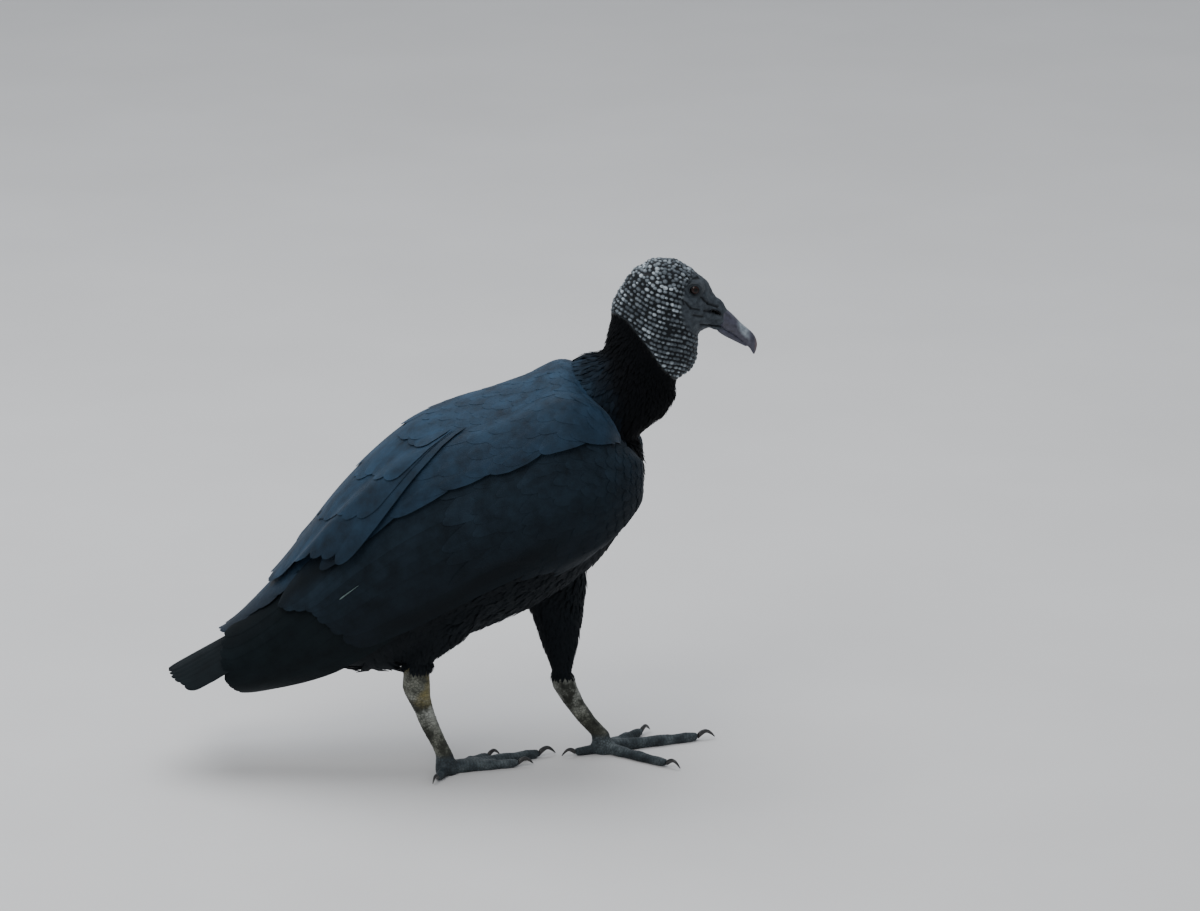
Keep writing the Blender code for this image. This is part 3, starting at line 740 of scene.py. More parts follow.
def cut_nostril(mesh):
    """Cuts the perforate nostril through the bill's skin."""
    shape = bmesh.new()
    bmesh.ops.create_uvsphere(shape, u_segments=24, v_segments=16, radius=MM)
    bmesh.ops.scale(shape, vec=(NOSTRIL_HALF[0], 60.0, NOSTRIL_HALF[1]), verts=shape.verts)
    cutter_mesh = bpy.data.meshes.new("nostril_cutter")
    shape.to_mesh(cutter_mesh)
    shape.free()
    cutter = add_object("nostril_cutter", cutter_mesh)
    cutter.location = (NOSTRIL[0] * MM, 0.0, NOSTRIL[1] * MM)
    cutter.rotation_euler = (0.0, -NOSTRIL_TILT, 0.0)
    item = add_object("nostril_skin", mesh)
    change = item.modifiers.new("nostril", "BOOLEAN")
    change.operation = "DIFFERENCE"
    change.solver = "MANIFOLD"
    change.object = cutter
    result = evaluated(item)
    for made in (cutter, item):
        bpy.data.objects.remove(made, do_unlink=True)
    return result


def build_skin(material):
    """Builds the closed skin and returns the coarser one under it, for the feathers to stand on."""
    mesh = flesh_mesh()

    def settle(points):
        points[:, 2] = np.maximum(points[:, 2], 0.0)
        set_mesh_points(mesh, points)

    def subdivide(part):
        subdivide_where(mesh, part(mesh_points(mesh)))

    def head_part(spots):
        return (below_hood(spots) < 3.0) & (spots[:, 2] > 380.0)

    points = smoothed(mesh_points(mesh), mesh_edges(mesh), SMOOTH_STEPS)
    # The top of the left thigh, a ledge on the breast, is blended in.
    ledge = ramp(points[:, 2], 168.0, 184.0) * ramp(points[:, 2], 228.0, 210.0)
    ledge *= ramp(points[:, 0], 92.0, 108.0) * ramp(points[:, 1], 4.0, 16.0)
    points += (smoothed(points, mesh_edges(mesh), 70, 0.0) - points) * ledge[:, None]
    settle(points)
    depth = COAT_DEPTH + (NECK_COAT - COAT_DEPTH) * ramp(below_hood(points), 75.0, 45.0)
    depth = depth * ramp(below_hood(points), -0.5, 7.0) * (1.0 - leg_bare(points))
    raised = arm_bulge(points) * (COAT_DEPTH + ARM_REST) - depth
    points = points + mesh_normals(mesh) * raised[:, None]
    points = smoothed(points, mesh_edges(mesh), 3)
    settle(points)
    base = (points.copy(), triangles(mesh))

    eye, _ = eye_ball("right")
    subdivide(lambda spots: head_part(spots) | (leg_bare(spots) > 0.02))
    subdivide(lambda spots: head_part(spots) | ((leg_bare(spots) > 0.02) & (spots[:, 2] < 110.0)))
    subdivide(lambda spots: np.hypot(spots[:, 0] - eye[0], spots[:, 2] - eye[2]) < 8.5)
    points = mesh_points(mesh)
    settle(np.where((points[:, 2] < 0.3)[:, None], points, smoothed(points, mesh_edges(mesh), 4)))
    mesh = cut_nostril(mesh)
    points = mesh_points(mesh)
    faces = triangles(mesh)
    centres = wart_places(points, faces, tree_of(points, faces))
    points, mask, dark = sculpt_head(points, mesh_normals(mesh))
    points, bead, gap = raise_warts(points, mesh_normals(mesh), mask, centres)
    points = sculpt_lids(points)
    points, relief = sculpt_legs(points, mesh_normals(mesh), faces)
    set_mesh_points(mesh, points)
    mesh.shade_smooth()
    mesh.materials.clear()
    mesh.materials.append(material)
    item = add_object("skin", mesh)
    # gap holds painted shade; wart holds the beads' paleness, partly a painted highlight.
    for name, values in (
        ("wart", bead),
        ("gap", np.maximum(gap, dark)),
        ("bare_head", (1.0 - on_neck(points)) * (points[:, 2] > HEAD_LOW)),
        ("bare_leg", leg_bare(points)),
        ("relief", relief),
    ):
        point_attribute(item, name, values)
    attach(item, "root")
    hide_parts(*FLESH, *WING_FLESH)
    return base


# ---------------------------------------------------------------------------------------------
# Materials
# ---------------------------------------------------------------------------------------------
class Number:
    """A number in a material's nodes, with the usual arithmetic."""

    def __init__(self, tree, socket):
        self.tree = tree
        self.socket = socket

    def worked(self, operation, *values):
        made = self.tree.nodes.new("ShaderNodeMath")
        made.operation = operation
        for entry, value in zip(made.inputs, values):
            if isinstance(value, Number):
                self.tree.links.new(value.socket, entry)
            else:
                entry.default_value = value
        return Number(self.tree, made.outputs[0])

    def held(self):
        """The same number, kept between 0 and 1."""
        self.socket.node.use_clamp = True
        return self

    def __add__(self, other):
        return self.worked("ADD", self, other)

    def __sub__(self, other):
        return self.worked("SUBTRACT", self, other)

    def __rsub__(self, other):
        return self.worked("SUBTRACT", other, self)

    def __mul__(self, other):
        return self.worked("MULTIPLY", self, other)

    def __pow__(self, other):
        return self.worked("POWER", self, other)

    def __abs__(self):
        return self.worked("ABSOLUTE", self)

    def sine(self):
        return self.worked("SINE", self)


def new_material(name, roughness, **sockets):
    """A material and its nodes; what is the same all over is set on the shader itself."""
    material = bpy.data.materials.new(name)
    material.use_nodes = True
    shader = material.node_tree.nodes["Principled BSDF"]
    shader.inputs["Roughness"].default_value = roughness
    for socket, value in sockets.items():
        shader.inputs[socket.replace("_", " ")].default_value = value
    return material, material.node_tree


def attribute(tree, name):
    made = tree.nodes.new("ShaderNodeAttribute")
    made.attribute_name = name
    return Number(tree, made.outputs["Fac"])


def texture(tree, kind, output, **values):
    """A texture laid out in the object's own space."""
    place = tree.nodes.new("ShaderNodeTexCoord")
    made = tree.nodes.new(kind)
    for name, value in values.items():
        made.inputs[name].default_value = value
    tree.links.new(place.outputs["Object"], made.inputs["Vector"])
    return made, Number(tree, made.outputs[output])


def noise(tree, scale, detail=3.0, roughness=0.55):
    return texture(tree, "ShaderNodeTexNoise", "Fac", Scale=scale, Detail=detail, Roughness=roughness)[1]


def along_axes(tree):
    """Places along X and Z, in metres."""
    place = tree.nodes.new("ShaderNodeTexCoord")
    split = tree.nodes.new("ShaderNodeSeparateXYZ")
    tree.links.new(place.outputs["Object"], split.inputs["Vector"])
    return Number(tree, split.outputs["X"]), Number(tree, split.outputs["Z"])


def colour_ramp(factor, *stops):
    made = factor.tree.nodes.new("ShaderNodeValToRGB")
    factor.tree.links.new(factor.socket, made.inputs["Fac"])
    elements = made.color_ramp.elements
    while len(elements) < len(stops):
        elements.new(0.5)
    for element, (place, colour) in zip(elements, stops):
        element.position = place
        element.color = (*colour, 1.0)
    return made.outputs["Color"]


def mix_colour(factor, first, second):
    made = factor.tree.nodes.new("ShaderNodeMix")
    made.data_type = "RGBA"
    for name, value in (("Factor", factor.socket), ("A", first), ("B", second)):
        entry = [socket for socket in made.inputs if socket.name == name and socket.enabled][-1]
        if isinstance(value, tuple):
            entry.default_value = (*value, 1.0)
        else:
            factor.tree.links.new(value, entry)
    return [socket for socket in made.outputs if socket.enabled][0]


def colour_and_relief(tree, colour, height=None, strength=0.0, distance=0.0005):
    """Gives the shader its colour and, from a height, fine relief."""
    shader = tree.nodes["Principled BSDF"]
    tree.links.new(colour, shader.inputs["Base Color"])
    if height:
        made = tree.nodes.new("ShaderNodeBump")
        made.inputs["Strength"].default_value = strength
        made.inputs["Distance"].default_value = distance
        tree.links.new(height.socket, made.inputs["Height"])
        tree.links.new(made.outputs["Normal"], shader.inputs["Normal"])


def skin_material():
    """Dark warty skin on the head with painted highlights and painted shade, pale and olive scales on the
    legs, black under the feathers.
    """
    material, tree = new_material("skin_finish", 0.5, Specular_IOR_Level=0.14)
    _, up = along_axes(tree)
    fine = noise(tree, 1400.0)
    patches = noise(tree, 60.0, 5.0, 0.65)
    cloud = noise(tree, 24.0, 3.0, 0.5)
    head = colour_ramp(noise(tree, 260.0), (0.3, (0.021, 0.027, 0.034)), (0.7, (0.058, 0.07, 0.082)))
    # The wart tops' pale colour is partly the skin's own and partly a painted highlight.
    beads = colour_ramp(fine, (0.35, (0.16, 0.195, 0.23)), (0.68, (0.74, 0.83, 0.88)))
    # Painted shade: near black in the gaps between warts, in the creases, round the nostril and round the
    # eyes.
    head = mix_colour(attribute(tree, "gap") * 0.88, head, (0.003, 0.004, 0.005))
    head = mix_colour((attribute(tree, "wart") ** 1.6).held() * 0.92, head, beads)
    legs = colour_ramp(
        patches, (0.32, (0.011, 0.012, 0.01)), (0.5, (0.055, 0.058, 0.046)), (0.66, (0.23, 0.235, 0.195))
    )
    # Olive stains at the top of the shanks, pale patches half way up, partly the legs' own pale grey and
    # partly a painted highlight, bluish toes.
    high = ((up - 0.066) * 60.0).held()
    stained = ((cloud - 0.5) * 9.0).held()
    legs = mix_colour(high * (stained * 0.75), legs, (0.26, 0.22, 0.09))
    middle = (1.0 - abs(up - 0.062) * 42.0).held()
    pale_and_highlit = ((patches - 0.44) * 5.0).held()
    legs = mix_colour(middle * pale_and_highlit, legs, (0.33, 0.34, 0.31))
    toes = colour_ramp(
        patches, (0.32, (0.016, 0.022, 0.027)), (0.5, (0.048, 0.063, 0.072)), (0.68, (0.125, 0.15, 0.16))
    )
    legs = mix_colour(((0.021 - up) * 200.0).held(), legs, toes)
    cells, edge = texture(tree, "ShaderNodeTexVoronoi", "Distance", Scale=560.0)
    cells.feature = "DISTANCE_TO_EDGE"
    legs = mix_colour(((0.16 - edge) * 5.0).held() * 0.45, legs, (0.018, 0.018, 0.015))
    legs = mix_colour((1.0 - attribute(tree, "relief")).held() * 0.6, legs, (0.018, 0.019, 0.017))
    colour = mix_colour(attribute(tree, "bare_head"), (0.002, 0.0025, 0.003), head)
    colour = mix_colour(attribute(tree, "bare_leg"), colour, legs)
    colour_and_relief(tree, colour, fine, 0.35)
    return material


# ---------------------------------------------------------------------------------------------
# Floor, light and camera
# ---------------------------------------------------------------------------------------------
IMAGE_WIDTH_AT_BIRD = 1.14
CAMERA_TARGET = Vector((0.134, 0.0, 0.309))
CAMERA_DISTANCE = 6.0
CAMERA_RISE = math.radians(16.0)
SENSOR = 36.0


def build_floor():
    bpy.ops.mesh.primitive_plane_add(size=60.0, location=(0.0, 0.0, 0.0))
    floor = bpy.context.object
    floor.name = "floor"
    material, tree = new_material("floor_finish", 0.85, Specular_IOR_Level=0.2)
    pale = colour_ramp(noise(tree, 3.0), (0.3, (0.7, 0.69, 0.68)), (0.7, (0.74, 0.73, 0.72)))
    colour_and_relief(tree, pale)
    floor.data.materials.append(material)


def add_light(name, place, target, size, power, colour):
    data = bpy.data.lights.new(name, "AREA")
    data.shape = "DISK"
    data.size = size
    data.energy = power
    data.color = colour
    lamp = add_object(name, data)
    lamp.location = place
    lamp.rotation_mode = "QUATERNION"
    lamp.rotation_quaternion = (Vector(target) - Vector(place)).to_track_quat("-Z", "Y")


def build_light():
    world = bpy.data.worlds.new("studio")
    bpy.context.scene.world = world
    world.use_nodes = True
    background = world.node_tree.nodes["Background"]
    background.inputs["Color"].default_value = (0.86, 0.9, 0.96, 1.0)
    background.inputs["Strength"].default_value = 0.62
    middle = (0.0, 0.0, 0.25)
    add_light("sky", (-0.6, 0.5, 3.0), middle, 3.2, 70.0, (0.93, 0.96, 1.0))
    add_light("key", (-0.9, -1.9, 2.6), middle, 1.4, 26.0, (1.0, 0.98, 0.95))


def build_camera():
    data = bpy.data.cameras.new("camera")
    data.sensor_width = SENSOR
    data.lens = SENSOR * CAMERA_DISTANCE / IMAGE_WIDTH_AT_BIRD
    data.clip_end = 100.0
    camera = add_object("camera", data)
    back = Vector((0.0, -math.cos(CAMERA_RISE), math.sin(CAMERA_RISE)))
    camera.location = CAMERA_TARGET + back * CAMERA_DISTANCE
    camera.rotation_mode = "QUATERNION"
    camera.rotation_quaternion = (-back).to_track_quat("-Z", "Y")
    bpy.context.scene.camera = camera


# ---------------------------------------------------------------------------------------------
# Feathers on the skin: each one's spine is walked over the surface, along the lie of the coat
# ---------------------------------------------------------------------------------------------
# Along and half width of a fine feather's rings, then its columns. Its root lies this deep in the skin.
PLUSH = ((0.0, 0.4, 0.75, 1.0), (0.5, 1.0, 0.85, 0.12), (-1.0, 0.0, 1.0))
ROOT_DEPTH = 0.4


def lie_of_coat(points):
    """The way the feathers point: down the neck and breast, back along the body, down the thighs."""
    neck = unit(np.array([-0.42, 0.0, -0.9]))
    front = np.array([-0.55, 0.0, -0.84])
    body = np.array([-0.97, 0.0, -0.26])
    back = np.array([-0.93, 0.0, -0.37])
    above = ramp(points[:, 2], 250.0, 320.0)[:, None] * ramp(points[:, 0], 150.0, 110.0)[:, None]
    ahead = ramp(points[:, 0], 70.0, 140.0)[:, None] * (1.0 - above)
    lie = body + (back - body) * above
    lie = lie + (front - lie) * ahead
    lie = lie + (neck - lie) * ramp(below_hood(points), 80.0, 35.0)[:, None]
    for side_name, _ in SIDES:
        foot = np.array(THIGH_FOOT[side_name])
        apart = np.hypot(points[:, 0] - foot[0], points[:, 1] - foot[1])
        thigh = ramp(apart, 58.0, 34.0)[:, None] * ramp(points[:, 2], 176.0, 140.0)[:, None]
        down = unit(foot + np.array([0.0, 0.0, -30.0]) - points)
        lie = lie + (down - lie) * thigh
    return unit(lie)


def walk_spines(tree, roots, lengths, rings, turn):
    """Points and outward directions along each feather's spine, on the skin."""
    count = len(roots)
    spine = np.empty((count, len(rings), 3))
    outward = np.empty_like(spine)
    place = np.empty_like(roots)
    normal = np.empty_like(roots)
    for index, root in enumerate(roots):
        near, facing, _, _ = tree.find_nearest(root)
        place[index] = near
        normal[index] = facing
    before = 0.0
    for ring, share in enumerate(rings):
        if ring:
            lie = lie_of_coat(place)
            side = np.cross(normal, lie)
            lie = lie * np.cos(turn)[:, None] + side * np.sin(turn)[:, None]
            lie = lie - normal * (lie * normal).sum(axis=1, keepdims=True)
            ahead = place + unit(lie) * ((share - before) * lengths)[:, None]
            for index in range(count):
                near, facing, _, _ = tree.find_nearest(ahead[index])
                if np.dot(facing, normal[index]) > 0.1:
                    place[index] = near
                    normal[index] = unit(normal[index] * 0.4 + np.array(facing) * 0.6)
                else:
                    place[index] = place[index] + 0.25 * (ahead[index] - place[index])
            before = share
        spine[:, ring] = place
        outward[:, ring] = normal
    return spine, outward


def neck_shade(roots):
    """Painted light: 0 on the black neck and breast, rising over the shoulders toward the back's painted blue
    sky reflection.
    """
    behind = ramp(roots[:, 0], 166.0, 112.0)
    return behind * ramp(roots[:, 2], 300.0, 345.0) * ramp(below_hood(roots), 22.0, 58.0)


def skin_feathers(name, tree, roots, length, width, lift, unwrap, material, seed, shade=None):
    """Feathers standing on the skin at the roots, rising by lift from root to tip."""
    draw = np.random.default_rng(seed)
    count = len(roots)
    lengths = length(roots) * draw.uniform(0.85, 1.15, count)
    half = (width(roots) * draw.uniform(0.88, 1.12, count) / 2)[:, None, None]
    turn = draw.normal(0.0, 0.2, count)
    rings, shares, columns = (np.array(values) for values in PLUSH)
    spine, outward = walk_spines(tree, roots, lengths, rings, turn)
    side = unit(np.cross(unit(np.gradient(spine, axis=1)), outward))
    shape = shares[:, None] * (1.0 + draw.normal(0.0, 0.05, (count, len(rings), len(columns))))
    across = side[:, :, None, :] * (columns * shape * half)[..., None]
    tips = lift(roots) * (1.0 + draw.normal(0.0, 0.12, count))
    rise = -ROOT_DEPTH + (tips[:, None] + ROOT_DEPTH) * rings**0.75
    roll = draw.normal(0.0, 0.1, count)[:, None, None]
    height = rise[:, :, None] + half * (roll / 2 * columns - 0.1 * columns**2)
    top = spine[:, :, None, :] + across + outward[:, :, None, :] * height[..., None]
    thick = 0.25 * (1.0 - 0.6 * rings)[:, None]
    item = vane_object(name, top, thick, draw.random(count), unwrap(roots), material)
    # The painted light of each feather, even where no shade function is given.
    point_attribute(item, "shade", shade(roots) if shade else np.ones(count))
    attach(item, "root")


# Unwraps of the skin's own shape, for the OFBake map: around the body's
# long axis, around the neck's and around each thigh.
def way_round(across, up):
    """The share of the way round an axis."""
    return np.arctan2(across, up) / (2 * math.pi) + 0.5


def wrapped(along, across, up):
    """A place on an unwrap: a share along the part, and the share of the way round it."""
    return np.clip(np.stack([along, way_round(across, up)], axis=1), 0.01, 0.99)


def unwrap_body(roots):
    axis = np.interp(roots[:, 0], [-280.0, -120.0, 100.0, 180.0], [100.0, 170.0, 285.0, 300.0])
    return wrapped((roots[:, 0] + 290.0) / 590.0, roots[:, 1], roots[:, 2] - axis)


def unwrap_neck(roots):
    beyond = below_hood(roots)
    middle = (HOOD_NAPE + HOOD_THROAT) / 2 + HOOD_NORMAL * beyond[:, None]
    ahead = np.cross(np.array([0.0, 1.0, 0.0]), HOOD_NORMAL)
    return wrapped(beyond / 130.0, roots[:, 1], (roots - middle) @ ahead)


def unwrap_thighs(roots):
    """The right thigh's feathers on the first half of the map, the left's on the second."""
    left = roots[:, 0] > 30.0
    middle = np.where(left, THIGH_FOOT["left"][0], THIGH_FOOT["right"][0] + 20.0)
    across = np.where(left, THIGH_FOOT["left"][1], THIGH_FOOT["right"][1])
    along = np.clip((roots[:, 2] - 60.0) / 140.0, 0.01, 0.99)
    around = way_round(roots[:, 1] - across, roots[:, 0] - middle)
    return np.stack([along, 0.02 + 0.46 * around + 0.5 * left], axis=1)


def on_thigh(points):
    """1 on the thighs, 0 on the belly."""
    found = np.zeros(len(points))
    for side_name, _ in SIDES:
        foot = np.array(THIGH_FOOT[side_name])
        top = foot + np.array([22.0 if side_name == "right" else -5.0, 0.0, 0.0])
        share = np.clip((points[:, 2] - foot[2]) / 70.0, 0.0, 1.0)
        middle = foot[0] + (top[0] - foot[0]) * share
        apart = np.hypot(points[:, 0] - middle, points[:, 1] - foot[1])
        top_edge = 168.0 if side_name == "right" else 208.0
        found = np.maximum(found, ramp(apart, 46.0, 38.0) * ramp(points[:, 2], top_edge, top_edge - 18.0))
    return found


def build_skin_feathers(base, finishes):
    """Fine feathers on the neck, the thighs, and the body where the wings' own leave it open."""
    points, faces = base
    tree = tree_of(points, faces)

    def feathered(spots):
        return (below_hood(spots) > 0.8) & (leg_bare(spots) < 0.25)

    def covered(spots):
        """Where the wings' own feathers lie over the flank."""
        place, angle = flank_place(spots)
        low = wing_low(place)
        side = (angle > 48.0) & (angle < low - ramp(place, 3.8, 4.8, 26.0, 10.0)) & (place > 1.5)
        top = (angle < 52.0) & (place > 3.0)
        foot = THIGH_FOOT["left"]
        clear = np.hypot(spots[:, 0] - foot[0], spots[:, 1] - foot[1]) > 52.0
        open_thigh = clear | (spots[:, 2] > 205.0)
        return (side | top) & (below_hood(spots) > 72.0) & (spots[:, 2] > 120.0) & open_thigh

    def neck_keep(spots):
        high = ramp(spots[:, 2], 330.0, 370.0)
        return feathered(spots) & (below_hood(spots) < 84.0 + 28.0 * high) & (spots[:, 2] > 300.0)

    def thigh_keep(spots):
        return feathered(spots) & (on_thigh(spots) > 0.5)

    def body_keep(spots):
        return feathered(spots) & ~neck_keep(spots) & ~thigh_keep(spots) & ~covered(spots)

    def by_hood(low, high, reach):
        return lambda spots: low + (high - low) * ramp(below_hood(spots), 0.0, reach)

    def by_height(low, high, top):
        return lambda spots: low + (high - low) * ramp(spots[:, 2], 90.0, top)

    def by_vent(body, under_tail):
        def size(spots):
            vent = ramp(spots[:, 0], -45.0, -80.0) * ramp(spots[:, 2], 140.0, 115.0)
            return body + (under_tail - body) * vent
        return size

    def neck_lift(spots):
        """Flat at the hood's edge, standing off a little below it, and as a collar over the shoulders."""
        collar = ramp(below_hood(spots), 36.0, 60.0) * (1.0 - ramp(spots[:, 0], 185.0, 200.0))
        return 1.0 + 1.9 * ramp(below_hood(spots), 0.0, 16.0) + 3.4 * collar

    roots = area_samples(points, faces, by_hood(1.3, 2.5, 60.0), neck_keep, 31)
    skin_feathers(
        "neck_feathers", tree, roots, by_hood(6.0, 19.0, 55.0), by_hood(2.0, 4.8, 60.0), neck_lift,
        unwrap_neck, finishes["neck"], 32, shade=neck_shade,
    )
    roots = area_samples(points, faces, by_height(1.5, 2.2, 150.0), thigh_keep, 33)
    skin_feathers(
        "thigh_feathers", tree, roots, by_height(7.0, 16.0, 140.0), by_height(2.2, 4.6, 150.0),
        by_height(1.1, 3.7, 135.0), unwrap_thighs, finishes["body"], 34,
    )
    roots = area_samples(points, faces, by_vent(3.5, 2.6), body_keep, 35)
    skin_feathers(
        "body_feathers", tree, roots, by_vent(21.0, 29.0), by_vent(8.0, 11.0), by_vent(3.2, 7.7),
        unwrap_body, finishes["body"], 36,
    )


# ---------------------------------------------------------------------------------------------
# Feathers of the folded wing, the shoulder and the back, laid out on the flank's chart
# ---------------------------------------------------------------------------------------------
def outline(rings, blunt=0.16, root=0.3):
    """Half width along a feather: a narrow root, straight edges and a round end of this share."""
    body = root + (1.0 - root) * ramp(rings, 0.0, max(0.3, 0.9 - blunt)) ** 0.8
    end = np.sqrt(np.clip(1.0 - np.clip((rings - (1.0 - blunt)) / blunt, 0.0, 1.0) ** 2, 0.0, 1.0))
    return body * np.maximum(end, 0.12)


def chart_feathers(plan, draw, rings, columns, camber, blunt):
    """Place, angle and height of feathers whose shafts run between two places of the flank's chart.

    plan is one row for each feather: root place and angle, tip place and angle, half width, height
    at the root and at the tip over the layer below, and tilt, which lifts the lower edge.
    """
    count = len(plan)
    share = np.sin(np.linspace(0.0, math.pi / 2, rings))[None, :, None]
    across = np.linspace(-1.0, 1.0, columns)[None, None, :]
    root_place, root_angle, tip_place, tip_angle, half, root_high, tip_high, tilt = (
        plan[:, index, None, None] for index in range(8)
    )
    place = root_place + (tip_place - root_place) * share
    angle = root_angle + (tip_angle - root_angle) * share
    _, _, place_scale, angle_scale = flank_frame(np.clip(place, 0.05, 14.95), angle)
    run = (tip_place - root_place) * place_scale
    drop = (tip_angle - root_angle) * angle_scale
    length = np.hypot(run, drop)
    width = half * outline(share, blunt) * (1.0 + draw.normal(0.0, 0.012, (count, rings, columns)))
    offset = width * across
    place = place - offset * drop / length / place_scale
    angle = angle + offset * run / length / angle_scale
    height = root_high + (tip_high - root_high) * share + tilt * across * (0.3 + 0.7 * share)
    height = height - camber * across**2 * share
    shaft = 0.3 * np.exp(-((across / 0.09) ** 2)) * (1.0 - 0.6 * share)
    return place, angle, height + shaft


def flank_lift(side, place, angle, height):
    point, outward, _, _ = flank_frame(np.clip(place, 0.05, 14.95), angle)
    lifted = point + outward * height[..., None]
    beyond = np.maximum(place - 14.95, 0.0)[..., None] + np.minimum(place - 0.05, 0.0)[..., None]
    back = flank(np.array([14.9]), np.array([90.0])) - flank(np.array([14.5]), np.array([90.0]))
    lifted = lifted + beyond * back[0] / 0.4
    lifted[..., 1] *= side
    return lifted


def lay_feathers(
    name, side, plan, layer, finish, slot, seed,
    rings=18, columns=9, camber=0.35, thick=0.4, blunt=0.14, shade=None,
):
    """One object of chart feathers over a layer, whose outer height is a function of place and angle."""
    draw = np.random.default_rng(seed)
    plan = np.asarray(plan, float)
    place, angle, height = chart_feathers(plan, draw, rings, columns, camber, blunt)
    top = flank_lift(side, place, angle, layer(place, angle) + height)
    if side < 0:
        top = top[:, :, ::-1]
    thinning = thick * (1.0 - 0.6 * np.linspace(0.0, 1.0, rings))[:, None]
    roots = np.stack([(plan[:, 0] + 0.5) / 16.0, (plan[:, 1] + 5.0) / 190.0], axis=1)
    item = vane_object(name, top, thinning, draw.random(len(plan)), np.clip(roots, 0.01, 0.99), finish)
    # Painted light and shade for each feather, darkened by painted shade in the wing's hollows.
    values = np.ones(len(plan))
    if shade:
        values = shade(plan[:, 2], plan[:, 3], flank(plan[:, 2], plan[:, 3]))
    values = np.repeat(values, len(item.data.vertices) // len(plan))
    point_attribute(item, "shade", values * (1.0 - 0.95 * hollow_painted_shade(mesh_points(item.data))))
    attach(item, "root")
    return item


def spread(count, start, end, draw, jitter):
    """count evenly spread numbers from start to end, each a little out of place."""
    step = (end - start) / max(count - 1, 1)
    return start + step * np.arange(count) + draw.normal(0.0, jitter, count) * abs(step)


def back_shade(place, angle, tips):
    """Painted light: most of the painted blue sky reflection over the middle of the back, with painted shade
    down the sides, at the rear and in front.
    """
    front = 0.12 + 0.88 * ramp(tips[:, 0], 162.0, 104.0)
    return front * (1.0 - 0.4 * ramp(angle, 18.0, 58.0)) * (1.0 - 0.25 * ramp(place, 9.0, 13.0))


def covert_shade(place, angle, tips):
    """Painted light: paler high on the wing, where light falls from above, with painted shade below, behind
    and in front.
    """
    front = ramp(tips[:, 0], 185.0, 130.0, 0.45, 1.0)
    return (1.0 - 0.75 * ramp(angle, 50.0, 118.0)) * (1.0 - 0.3 * ramp(place, 7.0, 12.0)) * front


# Coverts: tip place, length in places, count and half width of each row.
COVERT_ROWS = (
    (8.3, 2.6, 12, 11.5),
    (7.5, 2.2, 13, 11.0),
    (6.8, 1.9, 14, 10.0),
    (6.2, 1.6, 15, 9.0),
    (5.7, 1.45, 16, 8.4),
    (5.25, 1.3, 17, 7.8),
    (4.85, 1.2, 17, 7.4),
    (4.45, 1.1, 18, 7.1),
    (4.05, 1.0, 18, 7.0),
    (3.65, 0.95, 18, 6.9),
    (3.25, 0.9, 19, 6.8),
    (2.87, 0.9, 19, 6.6),
    (2.5, 0.85, 19, 6.4),
    (2.14, 0.8, 19, 6.2),
    (1.8, 0.8, 18, 6.0),
    (1.46, 0.75, 18, 5.8),
)


def hollow_painted_shade(points):
    """Painted shade: 1 in the wing's hollows, below the coverts and below the rear of the back, where shade
    falls, 0 elsewhere.
    """
    along = points[:, 0]

    def trough(places, heights, width):
        return np.exp(-(((points[:, 2] - np.interp(along, places, heights)) / width) ** 2))

    coverts = trough((-60.0, -18.0, 20.0, 58.0, 90.0), (165.0, 181.0, 211.0, 231.0, 245.0), 11.0)
    coverts *= ramp(along, -100.0, -50.0) * ramp(along, 110.0, 70.0)
    back = trough((-215.0, -198.0, -170.0, -132.0, -100.0), (144.0, 158.0, 181.0, 212.0, 236.0), 9.0)
    return np.maximum(coverts, 0.85 * back * ramp(along, -90.0, -125.0))


def primaries(seed):
    draw = np.random.default_rng(seed)
    count = 9
    share = (np.arange(count) + 0.5) / count
    tips = 14.3 + 0.7 * np.sin(math.pi * np.minimum(1.0, 0.25 + 0.8 * share)) + draw.normal(0, 0.03, count)
    return [
        (9.2, 58.0 + 62.0 * part, tip, 16.0 + 134.0 * part, 13.5, 1.4, 1.6, 0.7)
        for part, tip in zip(share, tips)
    ]


def secondaries(seed):
    draw = np.random.default_rng(seed)
    count = 11
    plan = []
    for part in (np.arange(count) + 0.5) / count:
        tip = 12.95 - 2.3 * part + draw.normal(0, 0.04)
        low = wing_low(np.array([tip]))[0] - ramp(tip, 7.0, 11.0, 0.0, 26.0)
        plan.append((5.6, 58.0 + 58.0 * part, tip, 46.0 + (low - 50.0) * part, 15.5, -1.2, -0.4, 0.8))
    return plan


def covert_rows(seed):
    """Rows of coverts from the wrist back: small and round in front, long behind."""
    draw = np.random.default_rng(seed)
    plan = []
    for number, (tip, length, count, half) in enumerate(COVERT_ROWS):
        low = float(wing_low(np.array([tip]))[0])
        upper = float(ramp(tip, 1.0, 4.0, 62.0, 40.0))
        angles = spread(count, upper, low - 3.0, draw, 0.16) + (number % 2) * (low - upper) / count / 2
        for angle in angles:
            reach = tip + draw.normal(0.0, 0.05) - 0.9 * max(0.0, (angle - 95.0) / 40.0) * (tip > 6.5)
            drop = 3.0 + draw.normal(0.0, 1.8)
            size = half * draw.uniform(0.9, 1.1)
            high = 0.3 + draw.normal(0.0, 0.13)
            lowest = min(angle + drop, low + 2.0)
            plan.append((reach - length, angle - drop, reach, lowest, size, -1.15, high, 0.12))
    return plan


